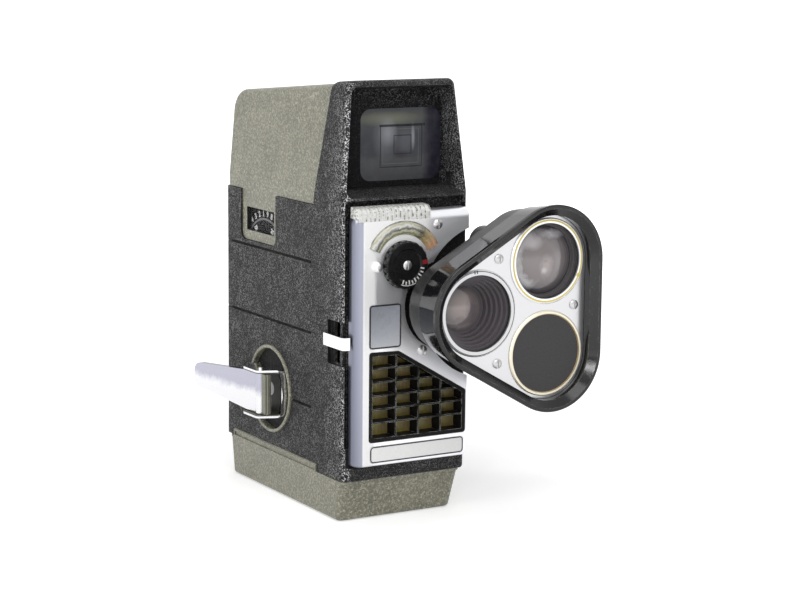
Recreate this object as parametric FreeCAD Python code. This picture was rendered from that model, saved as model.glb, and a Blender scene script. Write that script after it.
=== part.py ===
import FreeCAD, Part
import math
import os

V = FreeCAD.Vector

# A spring-wound 8 mm movie camera with an electric-eye meter and a three-lens turret.
# Millimetres. X runs to the right seen from the front, Y from the front to the back, Z up.
# Sizes are set out from the tripod socket's line, the body's front face and the sole of its base.
# save() then moves every piece so that the origin is the mouth of the tripod socket.

# Body
BODY_W = 50.8
BODY_D = 94.0
OFF_CENTRE = 0.7
BODY_H = 155.6
BASE_H = 14.75
RIDGE_Z = 115.5
RIDGE_R = 8.0
SIDE_TILT = 0.086
FRONT_TILT = 0.1
ROOF_FALL = 8.2
REAR_TOP_R = 9.0
BROW_R = 2.0
EDGE_R = 3.4
WALL = 2.5
FRONT_WALL = 13.0
REAR_WALL = 3.0
SKIN_STEP = 0.7
SEAM = 0.15
HALF_W = BODY_W / 2
LEFT_X = OFF_CENTRE - HALF_W
RIGHT_X = OFF_CENTRE + HALF_W
HOOD_H = BODY_H - RIDGE_Z
SIDE_LEAN = SIDE_TILT * HOOD_H
FRONT_LEAN = FRONT_TILT * HOOD_H
INNER_X = LEFT_X + WALL
BACK_IN_Y = BODY_D - REAR_WALL
SPOOL_R = 25.4
SPOOL_Y = BACK_IN_Y - SPOOL_R - 3.6

# Upper cover, its slanted front edge and the tongue round the footage window
COVER_FOOT_Z = 110.8
COVER_FRONT_Y = 23.2
COVER_SLANT = 7.9
COVER_WALL = 2.0
TONGUE_Y = (SPOOL_Y - 9.7, SPOOL_Y + 18.2)
TONGUE_Z = 92.0
TONGUE_R = 3.0

# Grooves cast into the side and the door
GROOVE_Z = (37.4, 64.5, 90.1)
GROOVE_Y = 24.2
GROOVE_W = 1.1
GROOVE_DEEP = 0.7

# Base
BASE_LEFT = 0.5
BASE_INSET = (0.8, 2.0)
BASE_BACK = 5.0
BASE_TAPER = 2.2
BASE_R = 3.4
TUB_INSET = 3.8
TUB_R = 2.8
FLANGE_Y = (20.0, 86.0)
FLANGE_TOP_Z = 17.3
CORNER_R = 2.4
TUB_FOOT_Z = 7.2
SOCKET_Y = 42.0
SOCKET_R = 3.175
SOCKET_DEPTH = 6.4
SOCKET_BUSH_R = 5.6

# Film chamber and the wall plate that carries the drive
CHAMBER_Z = (9.6, 114.3)
DRIVE_Z = (15.8, 109.0)
DOOR_X = RIGHT_X - 2.3
PLATE_X = DOOR_X - 23.1
PLATE_T = 2.5
PLATE_FRONT_Y = 29.0
DOOR_FRONT_Y = 18.5
DOOR_Z = (6.6, 115.1)
DOOR_LIP = 1.3
DOOR_GAP = 0.3
HINGE_X = RIGHT_X - 1.3
HINGE_Y = BODY_D - 0.2
HINGE_PIN_R = 0.8
KNUCKLE_R = 1.7
KNUCKLE_LEN = 9.6
KNUCKLE_Z = (31.0, 91.0)
RUN = 0.05
LATCH_Y = 25.5
LATCH_Z = 46.0
LATCH_R = 5.0
LATCH_STEM_R = 2.0
CAM_HALF = 2.6
CAM_REACH = 10.5

# Face plate and what sits in it
PLATE_FACE = 4.6
FACE_X = (LEFT_X + 2.2, RIGHT_X - 2.6)
FACE_Z = (20.6, 110.3)
FACE_WALL = 1.2
FACE_SEAT = 0.8
FACE_R = 3.2
DIAL_X = -3.7
DIAL_Z = 91.7
DIAL_R = 8.5
DIAL_PROUD = 3.0
WINDOW_R = (10.5, 15.4)
WINDOW_DEG = (25.0, 155.0)
PIN_X = DIAL_X - 10.7
PIN_Z = DIAL_Z - 0.2
PIN_R = 1.8
STRIP_X = (FACE_X[0] + 0.5, DIAL_X + 10.9)
STRIP_Z = (107.4, 112.3)
CELL_X = (FACE_X[0] + 5.2, FACE_X[1] - 0.8)
CELL_Z = (29.0, 44.7, 61.5)
CELL_OUTLINE = (
    (CELL_X[0], CELL_Z[2]),
    (CELL_X[0] + 12.1, CELL_Z[2] - 0.3),
    (CELL_X[1], CELL_Z[1]),
    (CELL_X[1], CELL_Z[0]),
    (CELL_X[0], CELL_Z[0]),
)
CELL_R = 1.2
GRID_FRAME = 1.5
GRID_PITCH_X = 9.2
GRID_FIRST_X = CELL_X[0] + 2.0
GRID_PITCH_Z = 4.85
GRID_FIRST_Z = 60.2
GRID_WALL = 0.5
GRID_FRONT_Y = -4.4
GRID_DEPTH = 5.6
CELL_T = 0.9
BADGE_SMALL = (FACE_X[0] + 5.3, FACE_X[0] + 17.9, 62.6, 78.0)
BADGE_LONG = (FACE_X[0] + 5.9, FACE_X[1] - 1.8, 21.8, 27.6)
BADGE_T = 0.5
FACE_SCREWS = ((10.2, 105.1), (4.3, 60.6))
FACE_SCREW_R = 1.7

# Turret
PIVOT_X = RIGHT_X + 5.82
LENS_Z = 76.45
LENS_SPREAD = 19.0
TURRET_BACK_Y = -8.0
REAR_CELL_Y = TURRET_BACK_Y
SATIN_END_Y = -18.0
RIM_Y = -32.5
RIM_LIP_Y = -30.3
TURRET_FACE_Y = -27.0
SKIRT_BACK_R = 16.1
SKIRT_MID_R = 17.9
RIM_R = 20.35
RIM_INNER_R = 16.4
SKIRT_WALL = 1.4
CELL_RING_R = 15.3
CELL_MOUTH_R = 13.4
CELL_BODY_R = 14.4
REAR_CELL_R = 9.0
SWEEP_R = 28.0
INDEX_R = 6.0
INDEX_SPREAD = 21.3
INDEX_Y = -3.6
SHAFT_R = 3.0
LUG_Y = (0.6, 12.4)
LUG_R = 7.0
NUT_R = 5.0
NUT_T = 3.0

# Taking lens and finder
TAKING_R = 8.4
TAKING_Y = (0.4, 15.0)
FINDER_X = RIGHT_X - 22.2
FINDER_Z = RIDGE_Z + HOOD_H / 2 - 3.3
FINDER_W = BODY_W - 18.0
FINDER_H = HOOD_H - 14.6
FINDER_DEPTH = 11.0
FINDER_BORDER = 0.8
FINDER_FOOT = -0.5
FINDER_CROWN = 1.6
SHADE_Z = (FACE_Z[1] - 1.0, 114.2)
SHADE_DEPTH = 4.0
FINDER_DRAFT = 2.2
MASK_T = 1.0
EYEPIECE_R = 7.4
EYE_LENS_R = 4.6

# Winding key on the left side
KEY_Y = SPOOL_Y - 6.2
KEY_Z = 38.5
KEY_RING_R = 16.4
KEY_RING_W = 1.3
KEY_DISC_X = LEFT_X + 1.1
KEY_DISC_T = 1.0
KEY_PAD_T = 2.2
EAR_HALF = 8.9
SHEET_T = 1.1
KEY_PIN_X = LEFT_X - 6.8
KEY_PIN_Y = KEY_Y - 5.3
KEY_PIN_R = 0.9
PADDLE_L = 50.0
PADDLE_T = 2.4
PADDLE_ROOT_W = 15.0
PADDLE_TIP_W = 8.6
PADDLE_DEG = 6.0
PADDLE_BACK = 4.9

# Drive
ARBOR_R = 2.5
BARREL_R = 19.0
BARREL_X = (INNER_X + 4.6, PLATE_X - 6.4)
BARREL_TEETH = 60
BARREL_MODULE = 0.7
PINION_TEETH = 10
WHEEL_TEETH = 50
WHEEL_MODULE = 0.5
CROWN_TEETH = 50
CROWN_MODULE = 0.4
TRAIN_X = PLATE_X - 3.1
CROWN_X = (TRAIN_X - 0.9, TRAIN_X - 0.1)
CROWN_W = 2.2
SECOND_DEG = 18.6
TAKEUP_TEETH = 68
GEAR_T = 1.2
GEAR_GAP = 0.12
DRIVE_GEAR_TEETH = 24
SHUTTER_TEETH = 12
SHUTTER_DEG = 64.3
SHUTTER_R = 18.5
SHUTTER_Y = 17.6
SHUTTER_T = 0.5
GATE_Y = 24.0
SPOOL_W = 17.0
SUPPLY_Z = 36.2
SPOOL_HUB_R = 8.0
SPINDLE_R = 3.6
COUNTER_Y = SPOOL_Y + 3.4
COUNTER_Z = 83.6
COUNTER_R = 20.4
COUNTER_WINDOW = (SPOOL_Y - 7.5, SPOOL_Y + 14.5, 95.6, 104.3)

# Release on the left front corner
RELEASE_SLOT_Z = (55.8, 71.6)
RELEASE_Z = (62.3, 66.7)
RELEASE_BACK_Y = 13.1
RELEASE_PROUD = 1.3
RELEASE_T = 1.0

STEM_Y = (6.0, 9.0)
ARM_END_Y = 24.0

# Small fits and places that several pieces share
METER_R = 9.6
METER_Y = (0.9, 11.6)
NEEDLE_SHAFT_R = 0.7
NEEDLE_Y = -2.6
VANE_Y = 15.6
DIAL_SHAFT_R = 2.1
DIAL_END_Y = -3.0
DIAL_SCREW_R = 1.7
FACE_SHANK_R = 0.95
DETENT_R = 1.1
DETENT_SPREAD = 7.0
DETENT_Y = (-7.8, 9.0)
DETENT_TRAVEL = 0.7
DETENT_FREE = 0.1
GROOVE_FLOOR = 0.85
TURRET_DEG = (180.0, 60.0, -60.0)
INDEX_TURN = 37.6
FACE_T = 1.2
LEDGE_R = 15.6
BASE_PLATE_T = 1.5
HUB_R = 4.6
SCREW_END_Y = -18.0
CELL_STEP_Y = -12.0
REAR_BORE_R = 6.4
NORMAL_GLASS_R = 8.0
NORMAL_GLASS_Y = -16.5
TELE_GLASS_R = 12.2
TELE_GLASS_Y = -23.8
WIDE_GLASS_R = 13.9
WIDE_GLASS_Y = -27.3
KEY_FLOOR_X = LEFT_X + 2.2
KEY_DISC_R = 14.7
EAR_Y = (KEY_Y - 14.5, KEY_Y + 7.2)
EAR_BOW = 1.6
EAR_BEND_R = 3.0
EAR_BOW_R = 12.0
EAR_STEP_X = LEFT_X - 2.8
EAR_TOP_X = LEFT_X - 10.3
ROLL_R = 1.5
ARBOR_CORE_R = 4.4
SPRING_T = 0.7
RATCHET_TEETH = 16
RATCHET_R = 8.0
RATCHET_X = INNER_X + 2.3
PAWL_DEG = 60.0
PAWL_SPREAD = 12.5
PAWL_HALF = 1.0
POST_R = 1.2
PIVOT_R = 1.2
BEARING_HALF = 2.6
DRIVE_X = PLATE_X - 5.6
SHUTTER_GEAR_Y = 20.8
GOVERNOR_DEG = 205.0
GOVERNOR_R = 6.5
GOVERNOR_SHAFT_R = 0.8
CUP_FLOOR_X = INNER_X + 4.8
SPINDLE_SHAFT_R = 1.5
PILLAR_R = 2.5
GATE_T = 1.2
GATE_Z = (60.0, 94.0)
CLAW_X = 5.9
CLAW_Z = 79.0
CLAW_PULL = 3.81
PAD_Y = 26.0
PAD_T = 1.2
PAD_TRAVEL = 1.6

LENS_X = PIVOT_X - LENS_SPREAD
SUPPLY = (SPOOL_Y, SUPPLY_Z)
FAR = 200.0
DETENT_X = PIVOT_X - DETENT_SPREAD
BARREL_GAP = (BARREL_TEETH + PINION_TEETH) * BARREL_MODULE / 2
SECOND = (
    KEY_Y - BARREL_GAP * math.sin(math.radians(SECOND_DEG)),
    KEY_Z + BARREL_GAP * math.cos(math.radians(SECOND_DEG)),
)
TAKEUP_GAP = (WHEEL_TEETH + TAKEUP_TEETH) * WHEEL_MODULE / 2
TAKEUP = (SPOOL_Y, SECOND[1] + math.sqrt(TAKEUP_GAP ** 2 - (SPOOL_Y - SECOND[0]) ** 2))
GOVERNOR_GAP = (WHEEL_TEETH + PINION_TEETH) * WHEEL_MODULE / 2
GOVERNOR = (
    SECOND[0] + GOVERNOR_GAP * math.cos(math.radians(GOVERNOR_DEG)),
    SECOND[1] + GOVERNOR_GAP * math.sin(math.radians(GOVERNOR_DEG)),
)
CROWN_Y = SECOND[0] - CROWN_TEETH * CROWN_MODULE / 2
DRIVE = (DRIVE_X, SECOND[1])
SHUTTER_GAP = (DRIVE_GEAR_TEETH + SHUTTER_TEETH) * WHEEL_MODULE / 2
SHUTTER = (
    DRIVE[0] + SHUTTER_GAP * math.cos(math.radians(SHUTTER_DEG)),
    DRIVE[1] + SHUTTER_GAP * math.sin(math.radians(SHUTTER_DEG)),
)
PAWL_AT = (
    KEY_Y + PAWL_SPREAD * math.cos(math.radians(PAWL_DEG)),
    KEY_Z + PAWL_SPREAD * math.sin(math.radians(PAWL_DEG)),
)
PILLAR_INSET = 4.1
PILLARS = tuple(
    (y, z)
    for y in (PLATE_FRONT_Y + PILLAR_INSET, BACK_IN_Y - PILLAR_INSET - 0.5)
    for z in (DRIVE_Z[0] + PILLAR_INSET, DRIVE_Z[1] - PILLAR_INSET)
)


def save(name, shape):
    """Move a piece to the tripod socket's frame and write it."""
    moved = shape.copy()
    moved.translate(V(0, -SOCKET_Y, 0))
    moved.exportStep("parts/" + name + ".step")
    print(name, len(moved.Solids), round(moved.Volume, 1), moved.isValid())


def block(x, y, z):
    """A box from three (low, high) pairs."""
    return Part.makeBox(x[1] - x[0], y[1] - y[0], z[1] - z[0], V(x[0], y[0], z[0]))


AXES = {"x": V(1, 0, 0), "y": V(0, 1, 0), "z": V(0, 0, 1)}


def place(axis, u, v, along):
    """The point at (u, v) across an axis and at a distance along it."""
    points = {"x": V(along, u, v), "y": V(u, along, v), "z": V(u, v, along)}
    return points[axis]


def rod(axis, centre, radius, low, high):
    """A round bar along an axis."""
    return Part.makeCylinder(radius, high - low, place(axis, centre[0], centre[1], low), AXES[axis])


def cone(axis, centre, radius_low, radius_high, low, high):
    """A tapered round bar along an axis."""
    start = place(axis, centre[0], centre[1], low)
    return Part.makeCone(radius_low, radius_high, high - low, start, AXES[axis])


def tube(axis, centre, outer, inner, low, high):
    """A round bar with a bore."""
    return rod(axis, centre, outer, low, high).cut(rod(axis, centre, inner, low - 1, high + 1))


def outline(corners, axis, along):
    """A closed wire through (u, v, radius) corners, with an arc at each corner that has a radius."""
    stations = []
    count = len(corners)
    for index in range(count):
        u, v, radius = corners[index]
        here = V(u, v, 0)
        back = V(corners[index - 1][0], corners[index - 1][1], 0) - here
        ahead = V(corners[(index + 1) % count][0], corners[(index + 1) % count][1], 0) - here
        back.normalize()
        ahead.normalize()
        if radius == 0:
            stations.append((here, None, here))
            continue
        half = back.getAngle(ahead) / 2
        middle = back + ahead
        middle.normalize()
        reach = radius / math.tan(half)
        crown = here + middle * (radius / math.sin(half) - radius)
        stations.append((here + back * reach, crown, here + ahead * reach))
    edges = []
    for index in range(count):
        start, crown, end = [p if p is None else place(axis, p.x, p.y, along) for p in stations[index]]
        following = stations[(index + 1) % count][0]
        if crown is not None:
            edges.append(Part.Arc(start, crown, end).toShape())
        target = place(axis, following.x, following.y, along)
        if end.distanceToPoint(target) > 1e-6:
            edges.append(Part.LineSegment(end, target).toShape())
    return Part.Wire(edges)


def prism(corners, axis, low, high):
    """An outline pushed along its axis."""
    return Part.Face(outline(corners, axis, low)).extrude(AXES[axis] * (high - low))


def loft(sections, axis):
    """A ruled solid through outlines given as (corners, place along the axis)."""
    return Part.makeLoft([outline(corners, axis, along) for corners, along in sections], True, True)


def rectangle(u, v, radius=0.0):
    """Corners of a rectangle from two (low, high) pairs."""
    return [(u[0], v[0], radius), (u[1], v[0], radius), (u[1], v[1], radius), (u[0], v[1], radius)]


def fuse(first, *others):
    """Join solids into one, without seams."""
    return first.multiFuse(list(others)).removeSplitter()


def cut_all(shape, tools):
    """Take several solids away from one."""
    for tool in tools:
        shape = shape.cut(tool)
    return shape


def polar(centre, radius, degrees):
    """The point at a radius and angle round a centre."""
    angle = math.radians(degrees)
    return centre[0] + radius * math.cos(angle), centre[1] + radius * math.sin(angle)


def wedge(axis, centre, radius, degrees, low, high):
    """A sector of a round bar between two angles."""
    steps = 6
    sweep = (degrees[1] - degrees[0]) / steps
    far = radius / math.cos(math.radians(sweep / 2)) + 1
    rim = [polar(centre, far, degrees[0] + sweep * step) for step in range(steps + 1)]
    corners = [(centre[0], centre[1], 0)] + [(u, v, 0) for u, v in rim]
    return prism(corners, axis, low, high).common(rod(axis, centre, radius, low, high))


def bar(start, end, half):
    """Corners of a straight bar of a half width between two points."""
    degrees = line_of(start, end)
    corners = [polar(start, half, degrees + 90), polar(start, half, degrees - 90)]
    corners += [polar(end, half, degrees - 90), polar(end, half, degrees + 90)]
    return [(u, v, 0) for u, v in corners]


def gear(axis, centre, teeth, module, low, high, bore=0.0, turn=0.0):
    """A spur gear with straight-flanked teeth, one tooth centred on the angle turn."""
    pitch_r = teeth * module / 2
    tip_r = pitch_r + 0.9 * module - GEAR_GAP
    root_r = pitch_r - 1.15 * module
    step = 360.0 / teeth
    corners = []
    for tooth in range(teeth):
        middle = turn + tooth * step
        for share, radius in ((-0.29, root_r), (-0.11, tip_r), (0.11, tip_r), (0.29, root_r)):
            u, v = polar(centre, radius, middle + share * step)
            corners.append((u, v, 0))
    body = prism(corners, axis, low, high)
    if bore:
        body = body.cut(rod(axis, centre, bore, low - 1, high + 1))
    return body


def leaning(half, foot):
    """The front view of the body: upright sides that lean in above the soft ridge."""
    top = BODY_H + 4
    lean = SIDE_TILT * (top - RIDGE_Z)
    left, right = OFF_CENTRE - half, OFF_CENTRE + half
    corners = [(left + lean, top, 0), (left, RIDGE_Z, RIDGE_R), (left, foot, 0)]
    corners += [(right, foot, 0), (right, RIDGE_Z, RIDGE_R), (right - lean, top, 0)]
    return prism(corners, "y", -1, BODY_D + 1)


def body_block(skin, foot):
    """The body's outer form drawn in by a skin, from a foot height up, with its upright and roof edges rounded."""
    half = HALF_W - skin
    rear = BODY_D - skin
    corners = [
        (skin, foot, 0),
        (rear, foot, 0),
        (rear, BODY_H - ROOF_FALL - skin, REAR_TOP_R - skin),
        (skin + FRONT_LEAN, BODY_H - skin, BROW_R),
        (skin, RIDGE_Z, RIDGE_R),
    ]
    shape = prism(corners, "x", LEFT_X - 1, RIGHT_X + 1).common(leaning(half, foot)).Solids[0]
    if skin > EDGE_R / 2:
        return shape
    chosen = []
    for edge in shape.Edges:
        span = edge.BoundBox
        across = span.XLength > half
        at_foot = span.ZMax < foot + 0.01
        along_side = span.YLength > half and span.ZMax < RIDGE_Z + RIDGE_R
        if not across and not at_foot and not along_side:
            chosen.append(edge)
    return shape.makeFillet(EDGE_R - skin, chosen)


def cover_zone(gap):
    """The space of the upper cover: its side view on each side, and the tongue on the left."""
    front = COVER_FRONT_Y - gap
    crown = BODY_H + 4
    slope = COVER_SLANT / (BODY_H - COVER_FOOT_Z)
    zones = []
    for foot, sides in ((COVER_FOOT_Z, (-FAR, 0)), (RIDGE_Z, (0, FAR))):
        foot_front = front - slope * (foot - COVER_FOOT_Z)
        crown_front = front - slope * (crown - COVER_FOOT_Z)
        corners = [(foot_front, foot - gap, 0), (FAR, foot - gap, 0), (FAR, crown, 0), (crown_front, crown, 0)]
        zones.append(prism(corners, "x", sides[0], sides[1]))
    low, high = TONGUE_Y[0] - gap, TONGUE_Y[1] + gap
    foot = TONGUE_Z - gap
    tongue = [(low, foot, TONGUE_R), (high, foot, TONGUE_R), (high, COVER_FOOT_Z + 1, 0), (low, COVER_FOOT_Z + 1, 0)]
    zones.append(prism(tongue, "x", -FAR, INNER_X + 1))
    return fuse(*zones)


def finder_mouth(draw, spread=0.0):
    """Corners of the finder's funnel, drawn in by its draft and spread for a rebate."""
    foot = RIDGE_Z + FINDER_FOOT + draw - spread
    crown = BODY_H - FINDER_CROWN - draw + spread
    wide = HALF_W - FINDER_BORDER - draw + spread
    narrow = wide - SIDE_TILT * (crown - RIDGE_Z)
    left, right = (OFF_CENTRE - wide, OFF_CENTRE - narrow), (OFF_CENTRE + wide, OFF_CENTRE + narrow)
    radius = 2.4
    return [(left[0], foot, radius), (right[0], foot, radius), (right[1], crown, radius), (left[1], crown, radius)]


def lug():
    """The bracket on the right of the casting that carries the turret's shaft."""
    reach = PIVOT_X + LUG_R
    root = RIGHT_X - 5.4
    bend = LUG_R - 0.2
    corners = [
        (root, LENS_Z - LUG_R - 4, 0),
        (reach, LENS_Z - LUG_R, bend),
        (reach, LENS_Z + LUG_R, bend),
        (root, LENS_Z + LUG_R + 4, 0),
    ]
    return prism(corners, "y", LUG_Y[0], LUG_Y[1])


def casting_cavities():
    """The spaces inside the casting, as solids to take away."""
    door_edge = DOOR_X - DOOR_GAP
    finder_back = FINDER_DEPTH + MASK_T
    roof_z = CHAMBER_Z[1] + 2
    cavities = [
        block((PLATE_X, door_edge), (FRONT_WALL, BACK_IN_Y), (DRIVE_Z[0], CHAMBER_Z[1])),
        block((PLATE_X, door_edge), (PLATE_FRONT_Y, BACK_IN_Y - 4.4), (CHAMBER_Z[0], DRIVE_Z[0] + 1)),
        block((INNER_X, PLATE_X + 1), (FRONT_WALL, BACK_IN_Y), DRIVE_Z),
        block((door_edge, FAR), (DOOR_FRONT_Y - DOOR_GAP, FAR), (DOOR_Z[0] - DOOR_GAP, DOOR_Z[1] + DOOR_GAP)),
        loft([(finder_mouth(-FINDER_DRAFT / FINDER_DEPTH), -1), (finder_mouth(FINDER_DRAFT), FINDER_DEPTH)], "y"),
        prism(finder_mouth(FINDER_DRAFT, MASK_T), "y", FINDER_DEPTH, finder_back + 1),
        body_block(WALL, BASE_H).common(block((-FAR, FAR), (finder_back, FAR), (roof_z, FAR))),
    ]
    return cavities


def casting_fits():
    """The seats, bores and slots cut into the casting for its neighbours."""
    seat = [(FACE_X[0] - 1.7, FAR), (-1, FACE_SEAT), (FACE_Z[0] - 1.0, SHADE_Z[1])]
    slot_z = RELEASE_SLOT_Z
    cuts = [
        block(*seat),
        prism(rectangle((FACE_X[0] - 1.4, FACE_X[1] + 1.0), SHADE_Z, 1.4), "y", -1, SHADE_DEPTH),
        block((FACE_X[0] - 1.4, FACE_X[0] + 1.0), (-1, SHADE_DEPTH), (FACE_Z[0] + 6, SHADE_Z[0] + 2)),
        rod("y", (DIAL_X, DIAL_Z), METER_R + SEAM, -1, METER_Y[1]),
        rod("y", (DIAL_X, DIAL_Z), NEEDLE_SHAFT_R + 0.5, -1, FRONT_WALL + 1),
        rod("y", (LENS_X, LENS_Z), TAKING_R, -1, FRONT_WALL + 1),
        rod("y", (PIVOT_X, LENS_Z), SHAFT_R + RUN, -1, FRONT_WALL + 1),
        rod("y", (DETENT_X, LENS_Z), DETENT_R + RUN, -1, DETENT_Y[1] + 1),
        prism(cell_corners(0.3), "y", -1, FACE_SEAT + 2.6),
        rod("x", (KEY_Y, KEY_Z), KEY_RING_R, -FAR, KEY_FLOOR_X),
        block((-FAR, LEFT_X + 1.5), (-1, RELEASE_BACK_Y - 1), slot_z),
        block((-FAR, INNER_X + 3), (STEM_Y[0] - 0.4, STEM_Y[1] + 0.4), (slot_z[0] + 0.6, slot_z[1] - 0.4)),
        block((INNER_X, INNER_X + 4), (STEM_Y[0] - 1.4, FRONT_WALL + 1), (slot_z[0] - 1.5, slot_z[1] + 2)),
    ]
    for z in GROOVE_Z:
        band = (z - GROOVE_W / 2, z + GROOVE_W / 2)
        cuts.append(block((-FAR, LEFT_X + GROOVE_DEEP), (GROOVE_Y, FAR), band))
    for z in KNUCKLE_Z:
        relief = (z - KNUCKLE_LEN / 2 - 0.2, z + KNUCKLE_LEN / 2 + 0.2)
        cuts.append(rod("z", (HINGE_X, HINGE_Y), KNUCKLE_R + DOOR_GAP, relief[0], relief[1]))
    return cuts


def hinge_lug(z):
    """Casting knuckles above and below one door knuckle."""
    solids = []
    for side in (-1, 1):
        near = z + side * (KNUCKLE_LEN / 2 + 0.2)
        far = near + side * KNUCKLE_LEN / 2
        low, high = min(near, far), max(near, far)
        barrel = rod("z", (HINGE_X, HINGE_Y), KNUCKLE_R, low, high)
        web = block((DOOR_X - DOOR_GAP - 4, HINGE_X), (HINGE_Y - 1.2, HINGE_Y + KNUCKLE_R), (low, high))
        solids.append(fuse(barrel, web))
    return solids


def foot_corner(axis, side):
    """What rounding takes off the casting's lower corner along its right or its rear side."""
    low, high = side - CORNER_R, BASE_H + CORNER_R
    square = prism(rectangle((low, side + 1), (BASE_H - 1, high)), axis, -FAR, FAR)
    return square.cut(rod(axis, (low, high), CORNER_R, -FAR, FAR))


def body_casting():
    """The die casting: front wall, left side, rear wall, hood, chamber roof and the turret's lug."""
    skin = body_block(0, BASE_H).cut(cover_zone(SEAM))
    skin = cut_all(skin, [foot_corner("y", RIGHT_X), foot_corner("x", BODY_D), base_flange(SEAM)])
    tub = prism(tub_corners(SEAM), "z", TUB_FOOT_Z, BASE_H + 1)
    roof_half = HALF_W - SKIN_STEP - COVER_WALL - SEAM
    deep = (FRONT_WALL, BACK_IN_Y)
    wide = (OFF_CENTRE - roof_half, OFF_CENTRE + roof_half)
    roof = block(wide, deep, (DRIVE_Z[1], CHAMBER_Z[1] + 2))
    sill = block((0, DOOR_X - DOOR_GAP), deep, (DRIVE_Z[1], RIDGE_Z - SEAM))
    shape = fuse(skin, tub, roof, sill, lug())
    shape = cut_all(shape, casting_cavities())
    pad = rod("x", (KEY_Y, KEY_Z), KEY_RING_R + 1.2, KEY_FLOOR_X, KEY_FLOOR_X + KEY_PAD_T)
    shape = fuse(shape, pad)
    shape = cut_all(shape, casting_fits())
    shape = shape.cut(rod("x", (KEY_Y, KEY_Z), ARBOR_R + RUN, -FAR, 0))
    for z in KNUCKLE_Z:
        shape = fuse(shape, *hinge_lug(z))
    return shape.cut(rod("z", (HINGE_X, HINGE_Y), HINGE_PIN_R, 0, BODY_H))


def base_corners(draw, lip=0.0):
    """The base's outline: drawn in at the front, the right and the back, and upright on the left."""
    x = (LEFT_X - BASE_LEFT, RIGHT_X - BASE_INSET[1] - draw + lip)
    y = (BASE_INSET[0] + draw - lip, BODY_D - BASE_BACK - draw + lip)
    corners = rectangle(x, y, BASE_R)
    return [(u, v, BASE_R - 1.2 if u == x[0] else BASE_R) for u, v, radius in corners]


def base_flange(gap):
    """The flange that the base raises along the left side."""
    y = (FLANGE_Y[0] - gap, FLANGE_Y[1] + gap)
    return block((LEFT_X - BASE_LEFT, LEFT_X + 0.7 + gap), y, (BASE_H - 1, FLANGE_TOP_Z + gap))


def tub_corners(gap):
    """The casting's lower tub, which the base fits round."""
    wide = HALF_W - TUB_INSET - gap
    deep = (TUB_INSET + gap, BODY_D - BASE_BACK - 3.0 - gap)
    return rectangle((OFF_CENTRE - wide, OFF_CENTRE + wide), deep, TUB_R - gap)


def base_cover():
    """The base shell with its lip, its rounded sole and the socket's hole."""
    shell = loft([(base_corners(BASE_TAPER), 0), (base_corners(0), BASE_H - 1)], "z")
    sole = [edge for edge in shell.Edges if edge.BoundBox.ZMax < 0.01]
    shell = shell.makeFillet(1.2, sole)
    lip = prism(base_corners(0, 0.4), "z", BASE_H - 1, BASE_H - SEAM)
    flange = base_flange(0)
    brow = [edge for edge in flange.Edges if edge.BoundBox.ZMin > FLANGE_TOP_Z - 0.01 and edge.BoundBox.XMax < LEFT_X]
    shell = fuse(shell, lip, flange.makeChamfer(0.5, brow))
    shadow = (BASE_H + 0.2, FLANGE_TOP_Z - 0.8)
    shell = shell.cut(block((-FAR, LEFT_X), (FLANGE_Y[0] + 0.6, FLANGE_Y[1] - 0.6), shadow))
    shell = shell.cut(prism(tub_corners(0), "z", TUB_FOOT_Z, BASE_H + 1))
    shell = shell.cut(rod("z", (0, SOCKET_Y), SOCKET_BUSH_R, -1, TUB_FOOT_Z + 1))
    door_edge = DOOR_X - DOOR_GAP
    shell = shell.cut(block((door_edge, FAR), (DOOR_FRONT_Y - DOOR_GAP, FAR), (DOOR_Z[0] - DOOR_GAP, FAR)))
    mouth = (PLATE_FRONT_Y, BACK_IN_Y - 4.4)
    return shell.cut(block((PLATE_X, FAR), mouth, (CHAMBER_Z[0], FAR)))


def tripod_socket():
    """The threaded steel bush in the sole, flush with it."""
    bush = rod("z", (0, SOCKET_Y), SOCKET_BUSH_R, 0, TUB_FOOT_Z)
    return bush.cut(rod("z", (0, SOCKET_Y), SOCKET_R, -1, SOCKET_DEPTH))


def upper_cover():
    """The upper cover: a thin shell with a tongue round the footage window."""
    shape = body_block(SKIN_STEP, TONGUE_Z - 1).common(cover_zone(0))
    shape = shape.cut(body_block(SKIN_STEP + COVER_WALL, 0))
    y_low, y_high, z_low, z_high = COUNTER_WINDOW
    shape = shape.cut(block((-FAR, 0), (y_low, y_high), (z_low, z_high)))
    return shape.cut(rod("y", (FINDER_X, FINDER_Z), EYEPIECE_R - 1, BODY_D - 8, FAR))


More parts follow.
